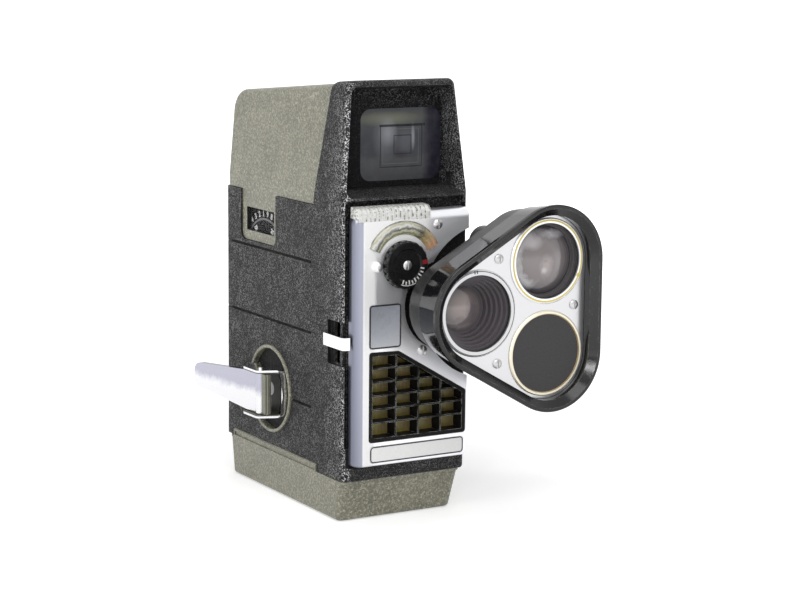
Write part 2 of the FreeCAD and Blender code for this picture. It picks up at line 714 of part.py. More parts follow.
def film_door():
    """The film door: the right side's skin with grooves, an inner rim and two hinge knuckles."""
    zone = block((DOOR_X, FAR), (DOOR_FRONT_Y, BODY_D + 1), DOOR_Z)
    low = DOOR_Z[0] - 0.1
    lip = [(RIGHT_X - DOOR_LIP, low, 0), (RIGHT_X + 0.1, low, 0), (RIGHT_X + 0.1, low + DOOR_LIP, 0)]
    heel = block((0, FAR), (BODY_D - BASE_BACK, FAR), (0, BASE_H))
    shape = body_block(0, 0).common(zone)
    shape = cut_all(shape, [prism(lip, "y", 0, FAR), heel, foot_corner("x", BODY_D)])
    for z in GROOVE_Z:
        band = (z - GROOVE_W / 2, z + GROOVE_W / 2)
        shape = shape.cut(block((RIGHT_X - GROOVE_DEEP, FAR), (GROOVE_Y, FAR), band))
    rim_y = (DOOR_FRONT_Y + 1.6, BACK_IN_Y - 1.2)
    rim_z = (DRIVE_Z[0] + 1.2, CHAMBER_Z[1] - 0.8)
    rim = block((DOOR_X - 0.6, DOOR_X + 0.1), rim_y, rim_z)
    hollow = block((DOOR_X - 1, DOOR_X + 0.2), (rim_y[0] + 1, rim_y[1] - 1), (rim_z[0] + 1, rim_z[1] - 1))
    shape = fuse(shape, rim.cut(hollow))
    for z in KNUCKLE_Z:
        for side in (-1, 1):
            near = z + side * KNUCKLE_LEN / 2
            far = z + side * (KNUCKLE_LEN + 0.4)
            low, high = min(near, far), max(near, far)
            room = rod("z", (HINGE_X, HINGE_Y), KNUCKLE_R + DOOR_GAP, low, high)
            web = block((0, HINGE_X + 0.1), (HINGE_Y - 1.5, FAR), (low, high))
            shape = cut_all(shape, [room, web])
        shape = fuse(shape, rod("z", (HINGE_X, HINGE_Y), KNUCKLE_R, z - KNUCKLE_LEN / 2, z + KNUCKLE_LEN / 2))
    shape = shape.cut(rod("z", (HINGE_X, HINGE_Y), HINGE_PIN_R + RUN, 0, BODY_H))
    return shape.cut(rod("x", (LATCH_Y, LATCH_Z), LATCH_STEM_R + RUN, 0, FAR))


def hinge_pins():
    """The two pins of the film door's hinge."""
    reach = KNUCKLE_LEN + 0.2
    return [rod("z", (HINGE_X, HINGE_Y), HINGE_PIN_R, z - reach, z + reach) for z in KNUCKLE_Z]


def door_latch():
    """The latch: a coin-slotted knob, its stem and the cam behind the casting's side."""
    face = RIGHT_X + 0.1
    knob = rod("x", (LATCH_Y, LATCH_Z), LATCH_R, face, face + 2.0)
    knob = knob.makeFillet(0.6, [edge for edge in knob.Edges if edge.BoundBox.XMin > face + 1.9])
    coin = block((face + 1.1, FAR), (LATCH_Y - LATCH_R, LATCH_Y + LATCH_R), (LATCH_Z - 0.7, LATCH_Z + 0.7))
    stem = rod("x", (LATCH_Y, LATCH_Z), LATCH_STEM_R, DOOR_X - 1.8, face + 0.5)
    cam = rectangle((LATCH_Y - CAM_HALF, LATCH_Y + CAM_HALF), (LATCH_Z - CAM_HALF, LATCH_Z + CAM_REACH), CAM_HALF - 0.1)
    cam = prism(cam, "x", DOOR_X - 1.8, DOOR_X - 0.8)
    return fuse(knob.cut(coin), stem, cam)


def spread(points, gap, radius):
    """Corners of a convex outline moved outwards by a gap."""
    corners = []
    for index in range(len(points)):
        here = V(points[index][0], points[index][1], 0)
        back = V(points[index - 1][0], points[index - 1][1], 0) - here
        following = points[(index + 1) % len(points)]
        ahead = V(following[0], following[1], 0) - here
        back.normalize()
        ahead.normalize()
        half = back.getAngle(ahead) / 2
        middle = back + ahead
        middle.normalize()
        moved = here - middle * (gap / math.sin(half))
        corners.append((moved.x, moved.y, radius))
    return corners


def cell_corners(gap):
    """The electric eye's five-sided outline, moved outwards by a gap."""
    return spread(CELL_OUTLINE, gap, max(CELL_R + gap, 0.3))


def badge_corners(badge, gap):
    """A badge's rounded outline, moved outwards by a gap."""
    x_low, x_high, z_low, z_high = badge
    return rectangle((x_low - gap, x_high + gap), (z_low - gap, z_high + gap), 1.0 + gap)


def turned(profile, centre):
    """A solid turned about an axis along Y from (radius, y) points; a third value bulges the line to it."""
    edges = []
    points = [V(centre[0] + p[0], p[1], centre[1]) for p in profile]
    for index in range(len(points)):
        start, end = points[index - 1], points[index]
        bulge = profile[index][2] if len(profile[index]) > 2 else 0
        if bulge:
            middle = (start + end) * 0.5 + V(0, bulge, 0)
            edges.append(Part.Arc(start, middle, end).toShape())
        else:
            edges.append(Part.LineSegment(start, end).toShape())
    face = Part.Face(Part.Wire(edges))
    return face.revolve(V(centre[0], 0, centre[1]), V(0, 1, 0), 360)


def lens(centre, radius, front, back, crown_front, crown_back):
    """A round lens with spherical faces."""
    profile = [(0, front - crown_front), (radius, front), (radius, back), (0, back + crown_back)]
    points = [V(centre[0] + r, y, centre[1]) for r, y in profile]
    ball = radius * radius
    edges = []
    for start, end, crown, tip in ((points[0], points[1], crown_front, -1), (points[2], points[3], crown_back, 1)):
        if abs(crown) < 0.01:
            edges.append(Part.LineSegment(start, end).toShape())
            continue
        sphere = (ball + crown * crown) / (2 * crown)
        rim = front if tip < 0 else back
        half = radius / 2
        middle_y = rim + tip * (crown - sphere + math.copysign(math.sqrt(sphere * sphere - half * half), sphere))
        edges.append(Part.Arc(start, V(centre[0] + half, middle_y, centre[1]), end).toShape())
    edges.insert(1, Part.LineSegment(points[1], points[2]).toShape())
    edges.append(Part.LineSegment(points[3], points[0]).toShape())
    return Part.Face(Part.Wire(edges)).revolve(V(centre[0], 0, centre[1]), V(0, 1, 0), 360)


def screw(centre, head_r, shank_r, seat_y, shank_y):
    """A slotted screw along Y with a domed head on a seat."""
    head_t = head_r * 0.5
    profile = [(0, seat_y - head_t), (head_r, seat_y - head_t * 0.45, -head_t * 0.2), (head_r, seat_y)]
    profile += [(shank_r, seat_y), (shank_r, shank_y), (0, shank_y)]
    shape = turned(profile, centre)
    slot = (centre[0] - head_r * 0.16, centre[0] + head_r * 0.16)
    return shape.cut(block(slot, (-FAR, seat_y - head_t * 0.5), (centre[1] - head_r, centre[1] + head_r)))


def face_plate():
    """The silver face plate: a shell with rounded left and top edges, cut round the turret's sweep."""
    front = -PLATE_FACE
    x_low, x_high = FACE_X
    z_low, z_high = FACE_Z
    corners = [(x_low, z_low, 0), (x_high, z_low, 2.4), (x_high, z_high, 0), (x_low, z_high, FACE_R + 0.6)]
    shape = prism(corners, "y", front, FACE_SEAT)
    edges = [edge for edge in shape.Edges if edge.BoundBox.YMax < front + 0.01]
    soft = [edge for edge in edges if edge.BoundBox.XMin < x_low + 0.01 and edge.BoundBox.ZLength > 20]
    shape = shape.makeFillet(FACE_R, soft)
    edges = [edge for edge in shape.Edges if edge.BoundBox.YMax < front + 0.01]
    hard = [edge for edge in edges if edge.BoundBox.XMax > x_high - 0.01 and edge.BoundBox.ZLength > 20]
    shape = shape.makeFillet(0.7, hard)
    sweep = rod("y", (PIVOT_X, LENS_Z), SWEEP_R, -20, 20)
    lens_room = rod("y", (LENS_X, LENS_Z), SKIRT_BACK_R - SEAM, -20, 20)
    side = FACE_WALL + 0.4
    inner = rectangle((x_low + side, x_high - side), (z_low + FACE_WALL, z_high - side), 1.0)
    hollow = prism(inner, "y", front + FACE_WALL, FACE_SEAT + 1)
    keep = [
        rod("y", (PIVOT_X, LENS_Z), SWEEP_R + FACE_WALL, -20, 20),
        rod("y", (LENS_X, LENS_Z), SKIRT_BACK_R + FACE_WALL, -20, 20),
        prism(cell_corners(FACE_WALL), "y", -20, 20),
        block((STRIP_X[0] - 2, STRIP_X[1] + FACE_WALL), (-20, 20), (STRIP_Z[0] - FACE_WALL, FAR)),
    ]
    keep += [rod("y", spot, FACE_SCREW_R, -20, 20) for spot in FACE_SCREWS]
    shape = shape.cut(cut_all(hollow, keep))
    arch = wedge("y", (DIAL_X, DIAL_Z), WINDOW_R[1], WINDOW_DEG, -20, 20)
    cuts = [
        rod("y", (DIAL_X, DIAL_Z), WINDOW_R[1] + 0.2 + SEAM, FACE_SEAT - 0.5 - SEAM, FAR),
        sweep,
        lens_room,
        prism(cell_corners(0), "y", -20, 20),
        arch.cut(rod("y", (DIAL_X, DIAL_Z), WINDOW_R[0], -21, 21)),
        rod("y", (DIAL_X, DIAL_Z), DIAL_SHAFT_R + RUN, -20, 20),
        block((STRIP_X[0], STRIP_X[1]), (-20, 20), (STRIP_Z[0], FAR)),
        prism(badge_corners(BADGE_SMALL, SEAM), "y", -20, front + BADGE_T - 0.1),
        prism(badge_corners(BADGE_LONG, SEAM), "y", -20, front + BADGE_T - 0.1),
    ]
    cuts += [rod("y", spot, FACE_SHANK_R, -20, 20) for spot in FACE_SCREWS]
    return fuse(cut_all(shape, cuts), index_pin())


def light_strip():
    """The ribbed strip along the plate's top edge."""
    y_low, y_high = -PLATE_FACE, FACE_SEAT
    corners = [(y_low, STRIP_Z[0], 0), (y_high, STRIP_Z[0], 0), (y_high, STRIP_Z[1], 0), (y_low, STRIP_Z[1] - 0.4, 2.4)]
    shape = prism(corners, "x", STRIP_X[0] + 0.05, STRIP_X[1] - 0.05)
    pitch = 1.8
    ribs = int((STRIP_X[1] - STRIP_X[0]) / pitch)
    for rib in range(1, ribs):
        x = STRIP_X[0] + rib * pitch
        groove = [(y_low - 1, STRIP_Z[0] + 0.8, 0), (y_high - 1.2, STRIP_Z[0] + 0.8, 0), (y_high - 1.2, FAR, 0)]
        groove.append((y_low - 1, FAR, 0))
        inner = [(y_low + 0.35, STRIP_Z[0], 0), (y_high, STRIP_Z[0], 0)]
        inner += [(y_high, STRIP_Z[1] - 0.35, 0), (y_low + 0.35, STRIP_Z[1] - 0.75, 2.2)]
        band = prism(groove, "x", x - 0.25, x + 0.25).cut(prism(inner, "x", x - 1, x + 1))
        shape = shape.cut(band)
    return shape


def cell_grid():
    """The black egg-crate louvre in front of the cell, with its frame."""
    y_low, y_high = GRID_FRONT_Y, GRID_FRONT_Y + GRID_DEPTH
    frame = prism(cell_corners(-0.05), "y", y_low, y_high)
    inner = prism(cell_corners(-GRID_FRAME), "y", y_low - 1, y_high + 1)
    frame = frame.cut(inner)
    bars = []
    half = GRID_WALL / 2
    column = GRID_FIRST_X + GRID_PITCH_X
    while column < CELL_OUTLINE[2][0] - GRID_FRAME - 2:
        bars.append(block((column - half, column + half), (y_low + 0.1, y_high), (20, 70)))
        column += GRID_PITCH_X
    row = GRID_FIRST_Z - GRID_PITCH_Z
    while row > CELL_OUTLINE[4][1] + GRID_FRAME + 2:
        bars.append(block((-30, 30), (y_low + 0.1, y_high), (row - half, row + half)))
        row -= GRID_PITCH_Z
    bars = fuse(*bars).common(prism(cell_corners(-GRID_FRAME + 0.2), "y", y_low, y_high))
    return fuse(frame, bars)


def selenium_cell():
    """The light cell behind the louvre."""
    back = GRID_FRONT_Y + GRID_DEPTH
    return prism(cell_corners(0.1), "y", back, back + CELL_T)


def badge(sizes):
    """A bare badge set into the face."""
    front = -PLATE_FACE - 0.1
    return prism(badge_corners(sizes, 0), "y", front, front + BADGE_T)


def exposure_dial():
    """The exposure dial: a fluted knob with a raised grip and its shaft."""
    back = -PLATE_FACE - 0.1
    front = -PLATE_FACE - DIAL_PROUD
    centre = (DIAL_X, DIAL_Z)
    profile = [(0, front + 0.5), (DIAL_R - 3.2, front + 0.5), (DIAL_R - 2.6, front), (DIAL_R - 0.5, front)]
    profile += [(DIAL_R, front + 0.6), (DIAL_R, back), (DIAL_SHAFT_R, back), (DIAL_SHAFT_R, DIAL_END_Y), (0, DIAL_END_Y)]
    shape = turned(profile, centre)
    flutes = 20
    for flute in range(flutes):
        spot = polar(centre, DIAL_R + 0.5, flute * 360 / flutes)
        shape = shape.cut(rod("y", spot, 0.85, front - 1, back - 0.6))
    return shape.cut(rod("y", centre, DIAL_SCREW_R, -20, front + 1.6))


def scale_window():
    """The convex arched window over the meter's scale."""
    outer, inner = WINDOW_R[1] - 0.05, WINDOW_R[0] + 0.05
    front = -PLATE_FACE
    profile = [(inner, front + 0.9), (inner, front), (outer, front, -0.9), (outer, front + 0.9)]
    ring = turned(profile, (DIAL_X, DIAL_Z))
    return ring.common(wedge("y", (DIAL_X, DIAL_Z), 20, (WINDOW_DEG[0] + 0.3, WINDOW_DEG[1] - 0.3), -20, 20))


def scale_plate():
    """The plate that carries the meter's scale, seated on the casting."""
    span = (WINDOW_DEG[0] - 5, WINDOW_DEG[1] + 5)
    sector = wedge("y", (DIAL_X, DIAL_Z), WINDOW_R[1] + 0.2, span, FACE_SEAT - 0.5, FACE_SEAT)
    return sector.cut(rod("y", (DIAL_X, DIAL_Z), WINDOW_R[0] - 0.3, -20, 20))


def index_pin():
    """The round-headed pin beside the dial."""
    seat = -PLATE_FACE
    profile = [(0, seat - 1.6), (PIN_R, seat - 0.9, -0.3), (PIN_R, seat), (0, seat)]
    return turned(profile, (PIN_X, PIN_Z))


def meter_movement():
    """The meter's magnet housing in its pocket."""
    body = rod("y", (DIAL_X, DIAL_Z), METER_R, METER_Y[0], METER_Y[1])
    return body.cut(rod("y", (DIAL_X, DIAL_Z), NEEDLE_SHAFT_R + RUN, -20, 20))


def meter_needle():
    """The needle, its hub and its long pivot."""
    centre = (DIAL_X, DIAL_Z)
    pivot = rod("y", centre, NEEDLE_SHAFT_R, NEEDLE_Y, VANE_Y + 0.6)
    hub = rod("y", centre, 1.5, NEEDLE_Y, NEEDLE_Y + 0.9)
    arm_x = (DIAL_X - 0.25, DIAL_X + 0.25)
    arm = block(arm_x, (NEEDLE_Y + 0.2, NEEDLE_Y + 0.6), (DIAL_Z - 4, DIAL_Z + WINDOW_R[1] - 0.6))
    return fuse(pivot, hub, arm)


def meter_vane():
    """The vane that the meter swings across the lens, with its stepped aperture slot."""
    centre = (DIAL_X, DIAL_Z)
    reach = math.hypot(LENS_X - DIAL_X, LENS_Z - DIAL_Z)
    middle = math.degrees(math.atan2(LENS_Z - DIAL_Z, LENS_X - DIAL_X))
    y_low, y_high = VANE_Y, VANE_Y + 0.3
    sector = wedge("y", centre, reach + 2.8, (middle - 22, middle + 22), y_low, y_high)
    sector = sector.cut(rod("y", centre, reach - 6.2, y_low - 1, y_high + 1))
    spot = polar(centre, reach - 5.6, middle)
    arm = prism(bar(centre, spot, 1.1), "y", y_low, y_high)
    shape = fuse(sector, arm, rod("y", centre, 2.0, y_low, y_high))
    for step in range(4):
        spot = polar(centre, reach, middle - 12 + 8 * step)
        shape = shape.cut(rod("y", spot, 2.3 - 0.4 * step, y_low - 1, y_high + 1))
    return shape.cut(rod("y", centre, NEEDLE_SHAFT_R, -20, 30))


def turret_corners(radius):
    """The turret's rounded triangle, concentric with its three lenses."""
    spots = [polar((PIVOT_X, LENS_Z), LENS_SPREAD + 2 * radius, degrees) for degrees in TURRET_DEG]
    return [(x, z, radius) for x, z in spots]


def lens_spots():
    """Centres of the three lens places."""
    return [polar((PIVOT_X, LENS_Z), LENS_SPREAD, degrees) for degrees in TURRET_DEG]


def turret_housing():
    """The turret's flared skirt with its satin band, gloss band and bevelled rim."""
    step = 0.3
    band = loft([(turret_corners(SKIRT_BACK_R), TURRET_BACK_Y), (turret_corners(SKIRT_MID_R), SATIN_END_Y)], "y")
    gloss = [(turret_corners(SKIRT_MID_R + step), SATIN_END_Y), (turret_corners(RIM_R - step), RIM_Y + 1.6)]
    flare = loft(gloss, "y")
    rim = prism(turret_corners(RIM_R), "y", RIM_Y, RIM_Y + 1.6)
    front = [edge for edge in rim.Edges if edge.BoundBox.YMax < RIM_Y + 0.01]
    rim = rim.makeFillet(0.5, front)
    shape = band.fuse([flare, rim])
    bevel = [(turret_corners(RIM_R - 1.3), RIM_Y - 0.1), (turret_corners(RIM_INNER_R), RIM_LIP_Y)]
    hollow = [(turret_corners(LEDGE_R), TURRET_FACE_Y), (turret_corners(SKIRT_BACK_R - SKIRT_WALL), TURRET_BACK_Y - 1.5)]
    cuts = [
        loft(bevel, "y"),
        prism(turret_corners(RIM_INNER_R), "y", RIM_LIP_Y - 0.1, TURRET_FACE_Y + FACE_T),
        loft(hollow, "y"),
        prism(turret_corners(SKIRT_BACK_R - SKIRT_WALL), "y", TURRET_BACK_Y - 1.6, TURRET_BACK_Y + 1),
    ]
    return cut_all(shape, cuts)


def turret_face():
    """The silver plate in the turret's mouth, with the lens and screw holes."""
    plate = prism(turret_corners(RIM_INNER_R - 0.1), "y", TURRET_FACE_Y, TURRET_FACE_Y + FACE_T)
    for spot in lens_spots():
        plate = plate.cut(rod("y", spot, CELL_BODY_R, -FAR, FAR))
    for spot in face_screw_spots():
        plate = plate.cut(rod("y", spot, FACE_SHANK_R, -FAR, FAR))
    return plate


def face_screw_spots():
    """Places of the turret's three face screws."""
    return [polar((PIVOT_X, LENS_Z), INDEX_SPREAD, degrees + 180) for degrees in TURRET_DEG]


def turret_base():
    """The turret's back plate with its hub, screw posts, index bosses and detent dimples."""
    back = TURRET_BACK_Y
    plate = prism(turret_corners(SKIRT_BACK_R - SKIRT_WALL), "y", back - BASE_PLATE_T, back)
    hub = rod("y", (PIVOT_X, LENS_Z), HUB_R, back - 1, LUG_Y[0] - DOOR_GAP)
    posts = [rod("y", spot, 2.2, TURRET_FACE_Y + FACE_T, back - 1) for spot in face_screw_spots()]
    bosses = []
    for degrees in TURRET_DEG:
        spot = polar((PIVOT_X, LENS_Z), INDEX_SPREAD, degrees + INDEX_TURN)
        boss = rod("y", spot, INDEX_R, back, INDEX_Y)
        boss = boss.makeFillet(1.2, [edge for edge in boss.Edges if edge.BoundBox.YMin > INDEX_Y - 0.01])
        bosses.append(boss.cut(rod("y", spot, INDEX_R - 2.2, INDEX_Y - 1.2, 0)))
    shape = fuse(plate, hub, *(posts + bosses))
    for spot in lens_spots():
        shape = shape.cut(rod("y", spot, REAR_CELL_R, -FAR, FAR))
    for spot in face_screw_spots():
        shape = shape.cut(rod("y", spot, FACE_SHANK_R, TURRET_FACE_Y, SCREW_END_Y))
    groove = (DETENT_SPREAD + DETENT_R + 0.15, DETENT_SPREAD - DETENT_R - 0.15)
    shape = shape.cut(tube("y", (PIVOT_X, LENS_Z), groove[0], groove[1], back - GROOVE_FLOOR, back + 1))
    for degrees in TURRET_DEG:
        spot = polar((PIVOT_X, LENS_Z), DETENT_SPREAD, degrees)
        shape = shape.cut(cone("y", spot, 0.5, DETENT_R, back - GROOVE_FLOOR - 0.35, back - GROOVE_FLOOR + 0.3))
    return shape.cut(rod("y", (PIVOT_X, LENS_Z), SHAFT_R, -FAR, FAR))


def lens_cell(spot, mouth, steps, throat, ring_r, glass_y):
    """A turned lens cell: front ring, stepped light baffle and the rear tube through the base."""
    ring_y = TURRET_FACE_Y - 0.7
    profile = [(mouth, ring_y)]
    drop = (glass_y - ring_y) / steps
    shrink = (mouth - throat) / steps
    radius = mouth
    for step in range(steps):
        y = ring_y + drop * (step + 1)
        profile.append((radius, y))
        radius -= shrink
        profile.append((radius, y))
    profile += [
        (throat, glass_y + 3.4),
        (REAR_BORE_R, glass_y + 3.4),
        (REAR_BORE_R, REAR_CELL_Y),
        (REAR_CELL_R, REAR_CELL_Y),
        (REAR_CELL_R, CELL_STEP_Y),
        (CELL_BODY_R, CELL_STEP_Y),
        (CELL_BODY_R, TURRET_FACE_Y),
        (ring_r, TURRET_FACE_Y),
        (ring_r, ring_y + 0.3),
        (ring_r - 0.4, ring_y),
    ]
    return turned(profile, spot)


def turret_pieces():
    """The three lens cells and their glasses, by name."""
    near, tele, wide = lens_spots()
    pieces = {
        "normal_cell": lens_cell(near, CELL_MOUTH_R, 6, NORMAL_GLASS_R, CELL_RING_R, NORMAL_GLASS_Y),
        "normal_glass": lens(near, NORMAL_GLASS_R, NORMAL_GLASS_Y, NORMAL_GLASS_Y + 2.4, 1.6, 0.6),
        "tele_cell": lens_cell(tele, CELL_MOUTH_R, 3, TELE_GLASS_R, CELL_RING_R, TELE_GLASS_Y),
        "tele_glass": lens(tele, TELE_GLASS_R, TELE_GLASS_Y, TELE_GLASS_Y + 3.0, 2.6, 0),
        "wide_cell": lens_cell(wide, WIDE_GLASS_R + 0.2, 1, WIDE_GLASS_R, CELL_RING_R, WIDE_GLASS_Y),
        "wide_glass": lens(wide, WIDE_GLASS_R, WIDE_GLASS_Y, WIDE_GLASS_Y + 2.6, 0, 0),
    }
    return pieces


def turret_shaft():
    """The pivot that carries the turret in the lug."""
    return rod("y", (PIVOT_X, LENS_Z), SHAFT_R, TURRET_BACK_Y - 4, LUG_Y[1] + NUT_T + 1)


def shaft_nut():
    """The hexagonal nut behind the lug."""
    low = LUG_Y[1] + DOOR_GAP
    centre = (PIVOT_X, LENS_Z)
    corners = [polar(centre, NUT_R, 60 * step) + (0,) for step in range(6)]
    return prism(corners, "y", low, low + NUT_T).cut(rod("y", centre, SHAFT_R, -20, 30))


def turret_detent():
    """The sprung plunger that finds the dimples in the turret's back."""
    stem = rod("y", (DETENT_X, LENS_Z), DETENT_R, TURRET_BACK_Y + 1.0, DETENT_Y[1])
    nose = cone("y", (DETENT_X, LENS_Z), 0.5, DETENT_R, TURRET_BACK_Y + DETENT_FREE, TURRET_BACK_Y + 1.0)
    return fuse(stem, nose)


def taking_lens_barrel():
    """The fixed taking lens, pressed into the front wall."""
    low, high = TAKING_Y
    bore = TAKING_R - 2.6
    profile = [(bore, low), (TAKING_R - 0.5, low), (TAKING_R, low + 0.5), (TAKING_R, high)]
    profile += [(bore - 1, high), (bore - 1, low + 7), (bore, low + 7)]
    return turned(profile, (LENS_X, LENS_Z))


def taking_lens_glass():
    """The taking lens's front glass."""
    low = TAKING_Y[0] + 2.2
    return lens((LENS_X, LENS_Z), TAKING_R - 2.6, low, low + 2.6, 1.2, 0.5)


def finder_window(gap):
    """Corners of the finder's glass."""
    half_w, half_h = FINDER_W / 2 + gap, FINDER_H / 2 + gap
    return rectangle((FINDER_X - half_w, FINDER_X + half_w), (FINDER_Z - half_h, FINDER_Z + half_h), 4.0)


def finder_mask():
    """The black mask at the bottom of the finder's funnel."""
    mask = prism(finder_mouth(FINDER_DRAFT, MASK_T - SEAM), "y", FINDER_DEPTH, FINDER_DEPTH + MASK_T)
    return mask.cut(prism(finder_window(0), "y", FINDER_DEPTH - 1, FINDER_DEPTH + MASK_T + 1))


def finder_front_glass():
    """The crowned front glass in the mask."""
    front = FINDER_DEPTH - 0.8
    crown = 150.0
    ball = Part.makeSphere(crown, V(FINDER_X, front + crown, FINDER_Z))
    return prism(finder_window(0), "y", front - 1, FINDER_DEPTH + MASK_T + 0.4).common(ball)


def finder_eyepiece():
    """The round eyepiece in the rear of the upper cover."""
    seat = BODY_D - SKIN_STEP
    front = seat - 6.5
    profile = [(EYE_LENS_R, front), (EYE_LENS_R, seat + 1.2), (EYE_LENS_R + 1.4, seat + 2.0), (EYEPIECE_R - 0.4, seat + 2.0)]
    profile += [(EYEPIECE_R, seat + 1.6), (EYEPIECE_R, seat), (EYEPIECE_R - 1, seat), (EYEPIECE_R - 1, front)]
    return turned(profile, (FINDER_X, FINDER_Z))


def finder_eye_glass():
    """The eyepiece's lens."""
    seat = BODY_D - SKIN_STEP
    return lens((FINDER_X, FINDER_Z), EYE_LENS_R, seat - 2.6, seat - 1.2, 0.3, 0.9)


def key_escutcheon():
    """The ring round the winding key."""
    bore = KEY_RING_R - KEY_RING_W
    ring = tube("x", (KEY_Y, KEY_Z), KEY_RING_R, bore, LEFT_X - 0.8, KEY_FLOOR_X)
    return ring.makeFillet(0.4, [edge for edge in ring.Edges if edge.BoundBox.XMax < LEFT_X - 0.7])


def key_disc():
    """The disc behind the key's bracket."""
    disc = rod("x", (KEY_Y, KEY_Z), KEY_DISC_R, KEY_DISC_X, KEY_DISC_X + KEY_DISC_T)
    return disc.cut(rod("x", (KEY_Y, KEY_Z), ARBOR_R, -FAR, FAR))


def strap(inset):
    """The outline of the bracket's bent sheet: two straight arms and a bowed front."""
    reach = EAR_HALF - inset
    bend, front = EAR_Y[0] + EAR_BOW + inset, EAR_Y[0] + inset
    radius = EAR_BEND_R - inset
    return [
        (EAR_Y[1] + inset, KEY_Z - reach, 0),
        (bend, KEY_Z - reach, radius),
        (front, KEY_Z, EAR_BOW_R),
        (bend, KEY_Z + reach, radius),
        (EAR_Y[1] + inset, KEY_Z + reach, 0),
    ]


def key_bracket():
    """The bent sheet bracket: a foot on the disc, two ears and the low bowed wall between them."""
    foot_x = KEY_DISC_X
    side_view = [
        (foot_x, EAR_Y[0], 0),
        (EAR_STEP_X, EAR_Y[0], 0.8),
        (EAR_STEP_X, EAR_Y[0] + 3.6, 0.6),
        (EAR_TOP_X + 0.4, KEY_PIN_Y - 2.8, 1.6),
        (EAR_TOP_X, EAR_Y[1] - 3.5, 3.0),
        (foot_x, EAR_Y[1], 0),
    ]
    sheet = prism(strap(0), "x", -FAR, foot_x).cut(prism(strap(SHEET_T), "x", -FAR, foot_x + 1))
    walls = sheet.common(prism(side_view, "z", 0, BODY_H))
    foot = prism(strap(0), "x", foot_x - SHEET_T, foot_x)
    ring_top = LEFT_X - 0.8 - DOOR_GAP
    room = rod("x", (KEY_Y, KEY_Z), KEY_DISC_R - 0.1, ring_top - 0.1, foot_x)
    shape = fuse(walls, foot).common(fuse(room, block((-FAR, ring_top), (0, BODY_D), (0, BODY_H))))
    shape = shape.cut(rod("z", (KEY_PIN_X, KEY_PIN_Y), KEY_PIN_R, 0, BODY_H))
    return shape.cut(rod("x", (KEY_Y, KEY_Z), ARBOR_R, -FAR, 0))


def key_pin():
    """The pin that the paddle folds on."""
    reach = EAR_HALF + 0.6
    return rod("z", (KEY_PIN_X, KEY_PIN_Y), KEY_PIN_R, KEY_Z - reach, KEY_Z + reach)


def key_paddle():
    """The folding paddle: a tapered plate with a rolled root and edge flanges."""
    root, tip = KEY_PIN_Y - PADDLE_BACK, KEY_PIN_Y + PADDLE_L - PADDLE_BACK
    half_root, half_tip = PADDLE_ROOT_W / 2, PADDLE_TIP_W / 2
    corners = [
        (root, KEY_Z - half_root, 0.6),
        (root + 12, KEY_Z - half_root, 8),
        (tip, KEY_Z - half_tip, half_tip * 0.9),
        (tip, KEY_Z + half_tip, half_tip * 0.9),
        (root + 12, KEY_Z + half_root, 8),
        (root, KEY_Z + half_root, 0.6),
    ]
    half_t = PADDLE_T / 2
    plate = prism(corners, "x", KEY_PIN_X - half_t, KEY_PIN_X + half_t)
    dish = [
        (root + 7.5, KEY_Z - half_root + 1.5, 1),
        (root + 12.5, KEY_Z - half_root + 1.5, 7),
        (tip - 1.8, KEY_Z - half_tip + 1.4, 2),
        (tip - 1.8, KEY_Z + half_tip - 1.4, 2),
        (root + 12.5, KEY_Z + half_root - 1.5, 7),
        (root + 7.5, KEY_Z + half_root - 1.5, 1),
    ]
    plate = plate.cut(prism(dish, "x", KEY_PIN_X + half_t - 1.2, KEY_PIN_X + half_t + 1))
    roll = rod("z", (KEY_PIN_X + 0.2, root + 1.2), ROLL_R, KEY_Z - half_root, KEY_Z + half_root)
    barrel = rod("z", (KEY_PIN_X, KEY_PIN_Y), KEY_PIN_R + 1.1, KEY_Z - half_root, KEY_Z + half_root)
    shape = fuse(plate, roll, barrel)
    shape = shape.cut(rod("z", (KEY_PIN_X, KEY_PIN_Y), KEY_PIN_R + RUN, 0, BODY_H))
    shape.rotate(V(KEY_PIN_X, KEY_PIN_Y, 0), V(0, 0, 1), PADDLE_DEG)
    return shape


def release_lever():
    """The release tab round the front corner, its stem through the wall and the stop arm."""
    outer = LEFT_X - RELEASE_PROUD
    inner = outer + RELEASE_T
    front = -RELEASE_T - 0.6
    corners = [
        (outer, RELEASE_BACK_Y, 0.3),
        (outer, front, 1.6),
        (FACE_X[0] - 0.5, front, 0.3),
        (FACE_X[0] - 0.5, front + RELEASE_T, 0.3),
        (inner, front + RELEASE_T, 0.6),
        (inner, RELEASE_BACK_Y, 0.3),
    ]
    tab = prism(corners, "z", RELEASE_Z[0], RELEASE_Z[1])
    stem_z = (RELEASE_Z[0] + 0.9, RELEASE_Z[1] - 0.9)
    stem = block((inner - 0.2, INNER_X + 1.3), STEM_Y, stem_z)
    arm = block((INNER_X + DOOR_GAP, INNER_X + 1.3), (STEM_Y[0] - 0.8, ARM_END_Y), stem_z)
    return fuse(tab, stem, arm)


def mesh_turn(line, turn, teeth, next_teeth):
    """The angle of a tooth of the next gear, so that it meshes with a gear turned by turn along a line."""
    phase = (line - turn) * teeth / 360.0
    return line + 180 + (phase + 0.5) * 360.0 / next_teeth


def line_of(start, end):
    """The angle of the line from one centre to another."""
    return math.degrees(math.atan2(end[1] - start[1], end[0] - start[0]))


def ratchet_wheel():
    """The ratchet on the winding arbor."""
    centre = (KEY_Y, KEY_Z)
    corners = []
    step = 360.0 / RATCHET_TEETH
    for tooth in range(RATCHET_TEETH):
        for share, radius in ((0.0, RATCHET_R), (0.12, RATCHET_R - 1.2)):
            y, z = polar(centre, radius, (tooth + share) * step)
            corners.append((y, z, 0))
    wheel = prism(corners, "x", RATCHET_X, RATCHET_X + GEAR_T)
    return wheel.cut(rod("x", centre, ARBOR_R, -FAR, FAR))


